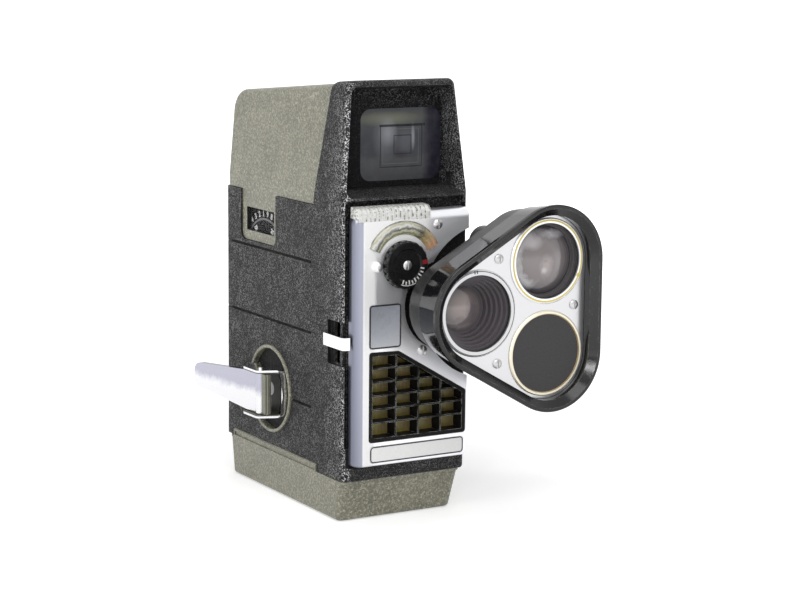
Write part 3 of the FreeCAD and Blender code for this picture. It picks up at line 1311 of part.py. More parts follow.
def ratchet_pawl():
    """The pawl that holds the ratchet, on its post."""
    tip = polar((KEY_Y, KEY_Z), RATCHET_R + 0.9, PAWL_DEG + 62)
    arm = prism(bar(PAWL_AT, tip, PAWL_HALF), "x", RATCHET_X, RATCHET_X + GEAR_T)
    boss = rod("x", PAWL_AT, 2.4, RATCHET_X, RATCHET_X + GEAR_T)
    room = rod("x", (KEY_Y, KEY_Z), RATCHET_R + 0.1, -FAR, FAR)
    shape = fuse(arm, boss).cut(room)
    return shape.cut(rod("x", PAWL_AT, POST_R + RUN, -FAR, FAR))


def winding_arbor():
    """The arbor from the key's disc through the barrel to the plate."""
    core = rod("x", (KEY_Y, KEY_Z), ARBOR_CORE_R, BARREL_X[0] + 1.3, BARREL_X[1] - 0.3)
    return fuse(rod("x", (KEY_Y, KEY_Z), ARBOR_R, KEY_DISC_X - SHEET_T, PLATE_X + PLATE_T - 0.7), core)


def mainspring_barrel():
    """The mainspring's barrel with the great wheel as its lid."""
    centre = (KEY_Y, KEY_Z)
    drum = rod("x", centre, BARREL_R, BARREL_X[0], BARREL_X[1])
    drum = drum.cut(rod("x", centre, BARREL_R - 1.2, BARREL_X[0] + 1, BARREL_X[1] + 1))
    line = line_of(centre, SECOND)
    wheel = gear("x", centre, BARREL_TEETH, BARREL_MODULE, BARREL_X[1], BARREL_X[1] + 2, 0, line)
    return fuse(drum, wheel).cut(rod("x", centre, ARBOR_R + RUN, -FAR, FAR))


def mainspring():
    """The mainspring: a band of half-circle turns in the barrel."""
    turns = 5
    pitch = (BARREL_R - 1.5 - ARBOR_CORE_R - SPRING_T) / (turns + 0.5)
    sides = []
    for start in (ARBOR_CORE_R + 0.4, ARBOR_CORE_R + 0.4 + SPRING_T):
        ends = []
        for half in range(2 * turns + 1):
            sign = 1 if half % 2 == 0 else -1
            ends.append(sign * (start + half * pitch / 2))
        arcs = []
        for half in range(2 * turns):
            middle = (ends[half] + ends[half + 1]) / 2
            crown = abs(ends[half] - ends[half + 1]) / 2 * (1 if half % 2 == 0 else -1)
            spots = [V(BARREL_X[0] + 1.6, KEY_Y + u, KEY_Z + v) for u, v in
                     ((ends[half], 0), (middle, crown), (ends[half + 1], 0))]
            arcs.append(Part.Arc(*spots).toShape())
        sides.append((arcs, ends))
    x = BARREL_X[0] + 1.6
    closers = []
    for index in (0, -1):
        inner, outer = sides[0][1][index], sides[1][1][index]
        closers.append(Part.LineSegment(V(x, KEY_Y + inner, KEY_Z), V(x, KEY_Y + outer, KEY_Z)).toShape())
    wire = Part.Wire(Part.__sortEdges__(sides[0][0] + sides[1][0] + closers))
    return Part.Face(wire).extrude(V(BARREL_X[1] - BARREL_X[0] - 2.2, 0, 0))


def second_wheel():
    """The second wheel: pinion, wheel and crown teeth on one shaft."""
    line = line_of((KEY_Y, KEY_Z), SECOND)
    turn = mesh_turn(line, line, BARREL_TEETH, PINION_TEETH)
    low = BARREL_X[1] - 0.1
    pinion = gear("x", SECOND, PINION_TEETH, BARREL_MODULE, low, TRAIN_X + 0.1, 0, turn)
    wheel = gear("x", SECOND, WHEEL_TEETH, WHEEL_MODULE, TRAIN_X, TRAIN_X + GEAR_T, 0, line_of(SECOND, TAKEUP))
    middle_r = CROWN_TEETH * CROWN_MODULE / 2
    crown = tube("x", SECOND, middle_r + CROWN_W / 2, middle_r - CROWN_W / 2, CROWN_X[0], TRAIN_X + 0.1)
    for notch in range(CROWN_TEETH):
        degrees = notch * 360 / CROWN_TEETH
        inner, outer = polar(SECOND, middle_r - CROWN_W, degrees), polar(SECOND, middle_r + CROWN_W, degrees)
        crown = crown.cut(prism(bar(inner, outer, CROWN_MODULE), "x", CROWN_X[0] - 1, CROWN_X[1]))
    for spoke in range(4):
        wheel = wheel.cut(rod("x", polar(SECOND, 6.6, 45 + 90 * spoke), 2.0, -FAR, FAR))
    shaft = rod("x", SECOND, PIVOT_R, low - 1.5, PLATE_X + PLATE_T - 0.5)
    return fuse(pinion, wheel, crown, shaft)


def drive_shaft():
    """The shaft to the shutter: a small pinion at the crown teeth and a gear at the front."""
    pinion = gear("y", DRIVE, PINION_TEETH, CROWN_MODULE, CROWN_Y - CROWN_W / 2, CROWN_Y + CROWN_W / 2)
    line = line_of(DRIVE, SHUTTER)
    wheel = gear("y", DRIVE, DRIVE_GEAR_TEETH, WHEEL_MODULE, SHUTTER_GEAR_Y, SHUTTER_GEAR_Y + GEAR_T, 0, line)
    shaft = rod("y", DRIVE, PIVOT_R, SHUTTER_Y + SHUTTER_T + DOOR_GAP, CROWN_Y + 1.8)
    return fuse(pinion, wheel, shaft)


def shutter():
    """The open-sector shutter with its pinion and shaft."""
    disc = rod("y", SHUTTER, SHUTTER_R, SHUTTER_Y, SHUTTER_Y + SHUTTER_T)
    towards = line_of(SHUTTER, (LENS_X, LENS_Z))
    opening = wedge("y", SHUTTER, SHUTTER_R + 2, (towards - 75, towards + 75), SHUTTER_Y - 1, SHUTTER_Y + 1)
    disc = disc.cut(opening.cut(rod("y", SHUTTER, 6, 0, 40)))
    line = line_of(DRIVE, SHUTTER)
    turn = mesh_turn(line, line, DRIVE_GEAR_TEETH, SHUTTER_TEETH)
    low = SHUTTER_GEAR_Y
    pinion = gear("y", SHUTTER, SHUTTER_TEETH, WHEEL_MODULE, low, low + GEAR_T, 0, turn)
    shaft = rod("y", SHUTTER, PIVOT_R, SHUTTER_Y - 0.6, PLATE_FRONT_Y + 2.5)
    return fuse(disc, pinion, shaft)


def governor():
    """The governor: pinion, shaft and a rotor with two swinging weights' seats."""
    line = line_of(SECOND, GOVERNOR)
    turn = mesh_turn(line, line_of(SECOND, TAKEUP), WHEEL_TEETH, PINION_TEETH)
    pinion = gear("x", GOVERNOR, PINION_TEETH, WHEEL_MODULE, TRAIN_X, TRAIN_X + GEAR_T, 0, turn)
    shaft = rod("x", GOVERNOR, GOVERNOR_SHAFT_R, CUP_FLOOR_X - 1.5, PLATE_X + PLATE_T - 0.5)
    rotor = rod("x", GOVERNOR, GOVERNOR_R, CUP_FLOOR_X + 0.6, CUP_FLOOR_X + 4.6)
    for side in (0, 180):
        rotor = rotor.cut(rod("x", polar(GOVERNOR, GOVERNOR_R, side), 2.2, -FAR, FAR))
    return fuse(pinion, shaft, rotor)


def governor_cup():
    """The governor's friction cup on the casting's wall."""
    cup = rod("x", GOVERNOR, GOVERNOR_R + 1.4, INNER_X, CUP_FLOOR_X + 4.4)
    cup = cup.cut(rod("x", GOVERNOR, GOVERNOR_R + 0.5, CUP_FLOOR_X, 0))
    return cup.cut(rod("x", GOVERNOR, GOVERNOR_SHAFT_R + RUN, -FAR, FAR))


def mechanism_plate():
    """The wall between the drive and the film, with bearings and the drive shaft's lug."""
    plate = block((PLATE_X, PLATE_X + PLATE_T), (PLATE_FRONT_Y, BACK_IN_Y - 0.3), (DRIVE_Z[0] + 0.3, CHAMBER_Z[1] - 0.3))
    half = BEARING_HALF
    long, short = (PLATE_FRONT_Y, PLATE_FRONT_Y + 5), (PLATE_FRONT_Y - 3.2, PLATE_FRONT_Y + 3)
    arms = [
        block((DRIVE[0] - half, PLATE_X + 0.1), long, (DRIVE[1] - half, DRIVE[1] + half)),
        block((SHUTTER[0] - half, PLATE_X + 0.1), short, (SHUTTER[1] - half, SHUTTER[1] + half)),
    ]
    shape = fuse(plate, *arms)
    bores = [
        rod("x", (KEY_Y, KEY_Z), ARBOR_R + RUN, -FAR, FAR),
        rod("x", SECOND, PIVOT_R + RUN, -FAR, FAR),
        rod("x", GOVERNOR, GOVERNOR_SHAFT_R + RUN, PLATE_X - 0.1, FAR),
        rod("x", SUPPLY, SPINDLE_SHAFT_R + RUN, -FAR, FAR),
        rod("x", TAKEUP, SPINDLE_SHAFT_R + RUN, -FAR, FAR),
        rod("y", DRIVE, PIVOT_R + RUN, 0, FAR),
        rod("y", SHUTTER, PIVOT_R + RUN, 0, PLATE_FRONT_Y + 4),
    ]
    return cut_all(shape, bores)


def plate_pillars():
    """The pillars that hold the mechanism plate off the casting's wall."""
    return [rod("x", spot, PILLAR_R, INNER_X, PLATE_X) for spot in PILLARS]


def spool(centre):
    """A film spool: two flanges with windows and a hollow hub."""
    low, high = LENS_X - SPOOL_W / 2, LENS_X + SPOOL_W / 2
    flange = 0.8
    solids = []
    for x in (low, high - flange):
        disc = rod("x", centre, SPOOL_R, x, x + flange)
        for window in range(3):
            disc = disc.cut(rod("x", polar(centre, 17, 90 + 120 * window), 4.2, x - 1, x + 2))
        solids.append(disc)
    solids.append(rod("x", centre, SPOOL_HUB_R, low, high))
    shape = fuse(*solids)
    slot = block((low + 2, high - 2), (centre[0] + SPOOL_HUB_R - 2.5, centre[0] + FAR), (centre[1] - 0.5, centre[1] + 0.5))
    shape = shape.cut(slot.common(rod("x", centre, SPOOL_HUB_R + 0.1, low, high)))
    return shape.cut(rod("x", centre, SPINDLE_R, -FAR, FAR))


def spindle(centre, back_x):
    """A spool's spindle with its rounded nose and the shaft through the plate."""
    start = PLATE_X + PLATE_T + DOOR_GAP
    nose = DOOR_X - 0.9
    body = rod("x", centre, SPINDLE_R, start, nose)
    body = body.makeFillet(1.0, [edge for edge in body.Edges if edge.BoundBox.XMin > nose - 0.01])
    return fuse(body, rod("x", centre, SPINDLE_SHAFT_R, back_x, start + 1))


def takeup_gear():
    """The take-up spindle's wheel."""
    line = line_of(SECOND, TAKEUP)
    turn = mesh_turn(line, line, WHEEL_TEETH, TAKEUP_TEETH)
    wheel = gear("x", TAKEUP, TAKEUP_TEETH, WHEEL_MODULE, TRAIN_X, TRAIN_X + GEAR_T, SPINDLE_SHAFT_R, turn)
    for spoke in range(5):
        wheel = wheel.cut(rod("x", polar(TAKEUP, 9.5, 72 * spoke), 3.6, -FAR, FAR))
    return wheel


def film_gate():
    """The gate: a plate with the aperture and claw slot, and the flange that screws to the plate."""
    low = PLATE_X + PLATE_T
    face = block((low, LENS_X + 8.6), (GATE_Y, GATE_Y + GATE_T), GATE_Z)
    flange = block((low, low + GATE_T), (GATE_Y, PLATE_FRONT_Y + 6.5), GATE_Z)
    shape = fuse(face, flange)
    cuts = [
        block((LENS_X - 2.4, LENS_X + 2.4), (GATE_Y - 1, GATE_Y + 4), (LENS_Z - 1.8, LENS_Z + 1.8)),
        block((CLAW_X - 0.8, CLAW_X + 0.8), (GATE_Y - 1, GATE_Y + 4), (CLAW_Z - CLAW_PULL - 0.6, CLAW_Z + 1.6)),
        block((low - 1, low + GATE_T + 0.2), (PAD_Y - 0.3, PAD_Y + PAD_T + PAD_TRAVEL + 0.3), (LENS_Z - 3, LENS_Z + 3)),
    ]
    return cut_all(shape, cuts)


def pressure_plate():
    """The sprung plate that holds the film to the gate, with its guide ear."""
    low = PLATE_X + PLATE_T + GATE_T + 0.3
    pad = block((low, LENS_X + 8.2), (PAD_Y, PAD_Y + PAD_T), (LENS_Z - 10, LENS_Z + 10))
    pad = pad.makeFillet(1.0, [edge for edge in pad.Edges if edge.BoundBox.YLength > PAD_T - 0.01])
    ear = block((low - GATE_T, low + 1), (PAD_Y, PAD_Y + PAD_T), (LENS_Z - 2.6, LENS_Z + 2.6))
    window = block((LENS_X - 3.4, LENS_X + 3.4), (PAD_Y - 1, PAD_Y + 4), (LENS_Z - 2.6, LENS_Z + 2.6))
    claw_room = block((CLAW_X - 1, CLAW_X + 1), (PAD_Y - 1, PAD_Y + 4), (CLAW_Z - CLAW_PULL - 0.8, CLAW_Z + 1.8))
    return cut_all(fuse(pad, ear), [window, claw_room])


def film_claw():
    """The claw that pulls the film down, from the shutter's end to the gate."""
    y_low, y_high = GATE_Y - 1.1, GATE_Y - 0.4
    slot_half = PIVOT_R + 0.4
    wide = (SHUTTER[0] - slot_half - 1.4, SHUTTER[0] + slot_half + 1.4)
    plate = prism(rectangle(wide, (SHUTTER[1] - slot_half - 1.2, CLAW_Z + 1), 1.0), "y", y_low, y_high)
    slot = (SHUTTER[1] - slot_half, SHUTTER[1] + CLAW_PULL + slot_half)
    plate = plate.cut(block((SHUTTER[0] - slot_half, SHUTTER[0] + slot_half), (y_low - 1, y_high + 1), slot))
    finger = block((SHUTTER[0], CLAW_X + 0.5), (y_low, y_high), (CLAW_Z - 0.6, CLAW_Z + 1))
    tip = block((CLAW_X - 0.5, CLAW_X + 0.5), (y_low, GATE_Y + GATE_T + 0.5), (CLAW_Z - 0.4, CLAW_Z + 0.6))
    return fuse(plate, finger, tip)


def counter_disc():
    """The footage disc and its pivot in the casting's wall."""
    low = INNER_X + DOOR_GAP
    disc = rod("x", (COUNTER_Y, COUNTER_Z), COUNTER_R, low, low + 0.7)
    hub = rod("x", (COUNTER_Y, COUNTER_Z), 3.0, low, low + 1.6)
    return fuse(disc, hub, rod("x", (COUNTER_Y, COUNTER_Z), 1.0, INNER_X - 1.2, low + 1))


def counter_window():
    """The clear pane in the tongue."""
    y_low, y_high, z_low, z_high = COUNTER_WINDOW
    return block((INNER_X - 1.1, INNER_X - 0.3), (y_low, y_high), (z_low, z_high))


def late_casting_cuts(shape):
    """Bearing holes for the drive, and the pawl's post, on the finished casting."""
    holes = [
        rod("x", (COUNTER_Y, COUNTER_Z), 1.0 + RUN, INNER_X - 1.3, 0),
    ]
    holes += [rod("y", spot, FACE_SHANK_R, -1, 7) for spot in FACE_SCREWS]
    shape = cut_all(shape, holes)
    post = rod("x", PAWL_AT, POST_R, KEY_FLOOR_X + KEY_PAD_T - 0.1, RATCHET_X + GEAR_T + 0.4)
    return fuse(shape, post, governor_cup())


def main():
    """Build every piece and write it."""
    os.makedirs("parts", exist_ok=True)
    pieces = {
        "body_casting": late_casting_cuts(body_casting()),
        "upper_cover": upper_cover(),
        "base_cover": base_cover(),
        "tripod_socket": tripod_socket(),
        "film_door": film_door(),
        "door_hinge_pins": Part.makeCompound(hinge_pins()),
        "door_latch": door_latch(),
        "face_plate": face_plate(),
        "face_screws": Part.makeCompound([screw(spot, FACE_SCREW_R, FACE_SHANK_R, -PLATE_FACE, 6) for spot in FACE_SCREWS]),
        "light_strip": light_strip(),
        "cell_grid": cell_grid(),
        "selenium_cell": selenium_cell(),
        "face_badges": Part.makeCompound([badge(BADGE_SMALL), badge(BADGE_LONG)]),
        "exposure_dial": exposure_dial(),
        "dial_screw": screw((DIAL_X, DIAL_Z), DIAL_SCREW_R, 0.9, -PLATE_FACE - DIAL_PROUD + 0.5, -PLATE_FACE - DIAL_PROUD + 1.6),
        "scale_window": scale_window(),
        "scale_plate": scale_plate(),
        "meter_movement": meter_movement(),
        "meter_needle": fuse(meter_needle(), meter_vane()),
        "turret_housing": turret_housing(),
        "turret_face": turret_face(),
        "turret_base": turret_base(),
        "turret_screws": Part.makeCompound(
            [screw(spot, FACE_SCREW_R, FACE_SHANK_R, TURRET_FACE_Y, SCREW_END_Y) for spot in face_screw_spots()]),
        "turret_shaft": Part.makeCompound([turret_shaft(), shaft_nut()]),
        "turret_detent": turret_detent(),
        "taking_lens_barrel": taking_lens_barrel(),
        "taking_lens_glass": taking_lens_glass(),
        "finder_mask": finder_mask(),
        "finder_glasses": Part.makeCompound([finder_front_glass(), finder_eye_glass()]),
        "finder_eyepiece": finder_eyepiece(),
        "key_escutcheon": key_escutcheon(),
        "key_disc": key_disc(),
        "key_bracket": Part.makeCompound([key_bracket(), key_pin()]),
        "key_paddle": key_paddle(),
        "release_lever": release_lever(),
        "ratchet_pawl": ratchet_pawl(),
        "winding_arbor": fuse(winding_arbor(), ratchet_wheel()),
        "mainspring_barrel": mainspring_barrel(),
        "mainspring": mainspring(),
        "second_wheel": second_wheel(),
        "drive_shaft": drive_shaft(),
        "shutter": shutter(),
        "governor": governor(),
        "mechanism_plate": fuse(mechanism_plate(), *plate_pillars()),
        "supply_spool": spool(SUPPLY),
        "takeup_spool": spool(TAKEUP),
        "supply_spindle": spindle(SUPPLY, PLATE_X - 0.5),
        "takeup_spindle": fuse(spindle(TAKEUP, TRAIN_X - 0.5), takeup_gear()),
        "film_gate": film_gate(),
        "pressure_plate": pressure_plate(),
        "film_claw": film_claw(),
        "counter_disc": counter_disc(),
        "counter_window": counter_window(),
    }
    pieces.update(turret_pieces())
    for name, shape in pieces.items():
        save(name, shape)


main()
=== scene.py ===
"""The looks of a spring-wound movie camera with a three-lens turret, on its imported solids."""

import logging
import math
from collections.abc import Callable, Iterable, Sequence
from dataclasses import dataclass, field
from enum import Enum

import bmesh
import bpy
from mathutils import Matrix, Vector


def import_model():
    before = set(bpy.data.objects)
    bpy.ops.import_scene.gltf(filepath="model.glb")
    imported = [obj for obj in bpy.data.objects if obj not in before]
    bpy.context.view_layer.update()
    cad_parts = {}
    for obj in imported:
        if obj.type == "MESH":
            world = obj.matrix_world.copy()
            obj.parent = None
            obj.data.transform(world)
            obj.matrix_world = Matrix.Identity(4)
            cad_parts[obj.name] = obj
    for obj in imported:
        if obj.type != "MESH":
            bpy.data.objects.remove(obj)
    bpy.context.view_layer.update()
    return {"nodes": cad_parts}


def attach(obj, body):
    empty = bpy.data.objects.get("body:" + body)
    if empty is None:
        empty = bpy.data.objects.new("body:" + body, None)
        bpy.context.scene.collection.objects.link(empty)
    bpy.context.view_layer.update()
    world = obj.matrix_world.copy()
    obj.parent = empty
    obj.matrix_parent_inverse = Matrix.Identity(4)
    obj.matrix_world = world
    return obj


LOG = logging.getLogger("movie_camera")

Socket = bpy.types.NodeSocket
Node = bpy.types.Node
Tree = bpy.types.NodeTree
Material = bpy.types.Material
Mesh = bpy.types.Mesh
Colour = tuple[float, float, float]
Point = tuple[float, float]
Box = tuple[float, float, float, float]
Stops = tuple[tuple[float, Colour], ...]

MM = 0.001
EVEN = (1.0, 1.0, 1.0)

# Places on the drawing in millimetres; mm() turns its y into the model's.
SOCKET_Y = 42.0
DIAL = (-3.7, 91.7)
NORMAL = (12.92, 76.45)
TELE = (41.42, 92.9)
WIDE = (41.42, 60.0)
FINDER = (3.9, 132.25)
KEY_Z = 38.5
COUNTER = (65.4, 83.6)
LEFT_X = -24.7

# Where the paints change, and where painted shadows, shade and highlights start and end, in millimetres on the
# model, with y counted from the tripod socket.
WINDOW_Y = (12.5, 34.5)
WINDOW_Z = (95.6, 104.3)
FACE_X = (-22.5, 23.5)
FACE_Z = (20.6, 110.3)
CELL_FRONT_Y = -69.0
SATIN_END_Y = -60.0
HOOD_LIP_Z = (117.1, 121.5)
HOOD_LIP_X = ((-21.5, -20.5), (23.0, 23.6))
MOUTH_Y = (-38.0, -39.0)
SEAM_X = ((LEFT_X + 0.12, LEFT_X + 0.30), (LEFT_X + 1.6, LEFT_X + 1.9))
COVER_SEAM = ((-33.0, 47.0), (20.0, 106.0))
CORNER_Y = (-26.0, -41.0)
BADGE_SPLIT_Z = (45.0, 46.0)
SMALL_BADGE = (-17.2, -4.6, 62.6, 78.0)
LONG_BADGE = (-16.6, 21.7, 21.8, 27.6)
FACE_SIDE_X = (-19.9, -19.1)
FACE_TURN_X = (-22.5, -19.4)
FACE_EDGE_X = (-15.6, -14.2)
FACE_TOP_Z = (96.0, 101.0)
FACE_TOP_X = (5.0, 8.0)
FUNNEL_TOP_Z = (144.0, 150.0)
FUNNEL_RIGHT_X = (19.0, 22.0)
PADDLE_ROOT_Y = (6.0, 6.4)
WEB_HALF_MM = 8.0
WEB_Y = (2.2, 2.7)

# The way that faces turn which take the strongest painted glint on the casting's crests: its rounded left front
# corner, towards the light.
GLINT_LOOK = (-0.66, -0.74, 0.12)

# Repeats and prints in millimetres: their sizes, where the light cell's patches start, and how deep a print
# reaches into its face.
CRINKLE_MM = 1.05
CELL_PITCH = (9.2, 4.85)
CELL_START = (-15.3, 60.2)
LENS_RIB_MM = 1.1
STRIP_RIB_MM = 1.7
PRINT_ROOT_MM = 0.1

# The height of a figure as a share of its font size.
CAP_HEIGHT = 0.7

# Colours that several paints share.
DUST_COLOUR = (0.50, 0.48, 0.44)
# The black of the shadows painted on the casting.
PAINTED_SHADOW_BLACK = (0.004, 0.004, 0.004)


def mm(x: float, y: float, z: float) -> Vector:
    """A point of the drawing in millimetres, as metres in the row frame."""
    return Vector((x * MM, (y - SOCKET_Y) * MM, z * MM))


def around(centre: Point, radius: float, degrees: float) -> Point:
    """The point at a radius and an angle round a centre."""
    turn = math.radians(degrees)
    return centre[0] + radius * math.cos(turn), centre[1] + radius * math.sin(turn)


class Grain(Enum):
    """The kinds of surface that a finish can have."""

    CRINKLE = "crinkle"
    HAMMER = "hammer"
    BRUSHED = "brushed"
    CAST = "cast"
    SMOOTH = "smooth"


@dataclass(frozen=True)
class Finish:
    """A finish: its colours, gloss, grain and edge marks, which are rubbed paint on most finishes and painted
    glints on the grid's black.
    """

    name: str
    colour: Colour
    second: Colour
    grain: Grain
    size_mm: float
    bump_mm: float
    roughness: tuple[float, float]
    metallic: float = 0.0
    coat: float = 0.0
    specular: float = 0.5
    wear_and_glint: float = 0.0
    wear_and_glint_colour: Colour = (0.62, 0.61, 0.59)
    wear_and_glint_mm: float = 0.5
    dust: float = 0.12
    brush: Colour = EVEN


@dataclass(frozen=True)
class Gleam:
    """A soft oval patch of a colour, in millimetres from a centre; the painted highlights, reflections and shade
    in the lenses and the finder are made of these.
    """

    across: float
    up: float
    half_w: float
    half_h: float
    colour: Colour
    strength: float = 0.7
    soft: float = 0.35


@dataclass(frozen=True)
class Zone:
    """A ring of a colour between two radii in millimetres."""

    radii: Point
    colour: Colour
    metallic: float = 0.0


# The khaki's dark first colour is painted shade in the hollows of its grains, its pale second colour their
# painted highlight.
KHAKI = Finish(
    "khaki paint", (0.066, 0.064, 0.042), (0.50, 0.487, 0.37), Grain.HAMMER, 0.9, 0.16, (0.30, 0.46),
    coat=0.10, wear_and_glint=0.20, wear_and_glint_colour=(0.50, 0.49, 0.43), dust=0.03,
)
SILVER = Finish(
    "satin silver", (0.540, 0.540, 0.553), (0.603, 0.603, 0.617), Grain.BRUSHED, 0.4, 0.004, (0.24, 0.34),
    metallic=1.0, wear_and_glint=0.15, wear_and_glint_colour=(0.88, 0.88, 0.88), dust=0.03, brush=(0.06, 1.0, 1.0),
)
CHROME = Finish(
    "chrome", (0.74, 0.74, 0.76), (0.82, 0.82, 0.84), Grain.SMOOTH, 6.0, 0.002, (0.05, 0.14), metallic=1.0,
    dust=0.03,
)
STEEL = Finish(
    "turned steel", (0.46, 0.46, 0.47), (0.58, 0.58, 0.58), Grain.BRUSHED, 0.4, 0.006, (0.24, 0.40),
    metallic=1.0, wear_and_glint=0.1, brush=(1.0, 0.15, 1.0),
)
BRASS = Finish("brass", (0.62, 0.46, 0.19), (0.74, 0.58, 0.28), Grain.BRUSHED, 0.5, 0.005, (0.22, 0.36),
               metallic=1.0, brush=(0.2, 1.0, 1.0))
BLUED = Finish(
    "blued spring steel", (0.10, 0.12, 0.19), (0.19, 0.20, 0.25), Grain.BRUSHED, 0.6, 0.004, (0.2, 0.32),
    metallic=1.0,
)
PLATE = Finish(
    "cast plate", (0.36, 0.36, 0.36), (0.47, 0.47, 0.47), Grain.CAST, 0.6, 0.02, (0.40, 0.55), metallic=1.0,
)
SATIN_BLACK = Finish(
    "satin black", (0.020, 0.020, 0.021), (0.040, 0.040, 0.041), Grain.CAST, 0.35, 0.012, (0.36, 0.50),
    specular=0.35, wear_and_glint=0.30, wear_and_glint_colour=(0.30, 0.30, 0.30), dust=0.04,
)
MATT_BLACK = Finish(
    "matt black", (0.010, 0.010, 0.011), (0.018, 0.018, 0.019), Grain.CAST, 0.3, 0.01, (0.55, 0.75),
    specular=0.25, dust=0.02,
)
# The grid's black takes painted glints: pale lines along the edges of its bars.
GRID_BLACK = Finish(
    "grid black", (0.004, 0.004, 0.004), (0.008, 0.008, 0.008), Grain.CAST, 0.6, 0.006, (0.35, 0.5),
    specular=0.12, wear_and_glint=1.6, wear_and_glint_colour=(0.66, 0.66, 0.64), wear_and_glint_mm=0.16, dust=0.02,
)
DIAL_BLACK = Finish(
    "dial black", (0.005, 0.005, 0.006), (0.010, 0.010, 0.011), Grain.CAST, 0.8, 0.01, (0.22, 0.34),
    specular=0.16, wear_and_glint=0.12, wear_and_glint_colour=(0.14, 0.14, 0.14), dust=0.02,
)
GLOSS_BLACK = Finish(
    "gloss black", (0.008, 0.008, 0.009), (0.014, 0.014, 0.015), Grain.SMOOTH, 9.0, 0.006, (0.08, 0.16),
    specular=0.35, wear_and_glint=0.35, wear_and_glint_colour=(0.35, 0.35, 0.34), wear_and_glint_mm=0.35, dust=0.02,
)
BLACK_PLASTIC = Finish(
    "black plastic", (0.011, 0.011, 0.012), (0.020, 0.020, 0.021), Grain.CAST, 0.5, 0.008, (0.26, 0.40),
    specular=0.30, wear_and_glint=0.15, wear_and_glint_colour=(0.16, 0.16, 0.16), dust=0.02,
)
DARK_DISC = Finish(
    "dark disc", (0.036, 0.034, 0.036), (0.050, 0.047, 0.050), Grain.CAST, 0.25, 0.003, (0.34, 0.46),
    specular=0.3, dust=0.02,
)

SILVER_RING = (0.80, 0.80, 0.80)
NORMAL_RINGS = (Zone((13.4, 14.6), (0.62, 0.62, 0.63), 0.7), Zone((14.6, 14.85), (0.04, 0.04, 0.05)),
                Zone((14.85, 15.6), SILVER_RING, 0.9))
TELE_RINGS = (Zone((13.4, 14.1), SILVER_RING, 0.9), Zone((14.1, 14.7), (0.74, 0.60, 0.17), 0.2),
              Zone((14.7, 15.6), SILVER_RING, 0.9))
WIDE_RINGS = (Zone((13.7, 14.2), (0.48, 0.38, 0.22), 0.5), Zone((14.2, 15.6), (0.84, 0.79, 0.64), 0.6))
NORMAL_DEPTH = Zone((7.8, 13.3), (0.125, 0.113, 0.122))
TELE_DEPTH = Zone((12.0, 13.3), (0.13, 0.12, 0.125))
# The lenses' colours from middle to edge, and their gleams: painted reflections, highlights and shade in the
# glass.
NORMAL_STOPS = (
    (0.0, (0.50, 0.41, 0.38)), (0.55, (0.37, 0.31, 0.295)), (0.85, (0.25, 0.215, 0.22)),
    (1.0, (0.16, 0.14, 0.15)),
)
NORMAL_GLEAMS = (
    Gleam(-1.8, 1.6, 3.6, 3.2, (0.44, 0.36, 0.34), 0.55, 0.6),
    Gleam(3.6, -0.8, 2.2, 4.6, (0.15, 0.125, 0.155), 0.65, 0.5),
    Gleam(-1.6, -5.2, 4.2, 1.1, (0.50, 0.47, 0.47), 0.55, 0.5),
    Gleam(-1.2, -4.3, 4.4, 1.4, (0.24, 0.20, 0.195), 0.75, 0.4),
)
TELE_STOPS = (
    (0.0, (0.40, 0.34, 0.33)), (0.45, (0.30, 0.26, 0.26)), (0.75, (0.21, 0.185, 0.195)),
    (0.92, (0.12, 0.11, 0.12)), (1.0, (0.06, 0.055, 0.06)),
)
TELE_GLEAMS = (
    Gleam(-6.6, -0.5, 5.0, 8.8, (0.86, 0.85, 0.86), 0.85, 0.18),
    Gleam(-3.4, 0.8, 6.2, 8.6, (0.31, 0.27, 0.27), 1.0, 0.14),
    Gleam(-5.4, 6.8, 3.4, 2.2, (0.70, 0.66, 0.68), 0.75, 0.5),
    Gleam(4.6, 9.2, 4.6, 1.3, (0.72, 0.70, 0.74), 0.6, 0.5),
    Gleam(2.8, -0.5, 3.2, 6.0, (0.40, 0.36, 0.37), 0.55, 0.35),
    Gleam(0.9, -1.4, 3.6, 6.4, (0.29, 0.25, 0.25), 0.8, 0.25),
    Gleam(0.2, -2.4, 2.2, 3.0, (0.62, 0.54, 0.53), 0.7, 0.55),
    Gleam(-0.6, -3.6, 1.0, 0.9, (0.88, 0.86, 0.86), 0.75, 0.6),
)
DISC_BLACK = Finish(
    "disc black", (0.005, 0.005, 0.005), (0.009, 0.009, 0.009), Grain.CAST, 0.8, 0.002, (0.6, 0.8),
    specular=0.05, dust=0.0,
)
SCALE_RADII = (9.8, 15.2)
# The scale window's colours across its width: its olive scale, with cream streaks that are painted reflections.
SCALE_STREAKS = (
    (0.0, (0.80, 0.80, 0.76)), (0.14, (0.62, 0.61, 0.46)), (0.26, (0.30, 0.30, 0.13)),
    (0.38, (0.74, 0.73, 0.60)), (0.52, (0.12, 0.12, 0.10)), (0.60, (0.26, 0.26, 0.24)),
    (0.72, (0.78, 0.78, 0.74)), (0.88, (0.45, 0.44, 0.30)), (1.0, (0.70, 0.69, 0.58)),
)
SCALE_RIGHT = (
    (0.0, (0.40, 0.40, 0.20)), (0.62, (0.42, 0.42, 0.20)), (0.74, (0.035, 0.032, 0.02)),
    (0.84, (0.42, 0.30, 0.10)), (0.93, (0.62, 0.34, 0.16)), (1.0, (0.66, 0.28, 0.14)),
)
# The light cell's colours across each patch: painted shade darkens each one to its right.
CELL_STOPS = ((0.0, (0.28, 0.24, 0.050)), (0.2, (0.38, 0.325, 0.070)), (0.45, (0.31, 0.265, 0.055)),
              (0.62, (0.24, 0.19, 0.045)), (1.0, (0.18, 0.145, 0.035)))
# The small badge's grey, with painted shading from its top to its paler foot.
BADGE_STOPS = ((0.0, (0.27, 0.285, 0.32)), (0.45, (0.42, 0.44, 0.48)), (1.0, (0.72, 0.73, 0.76)))
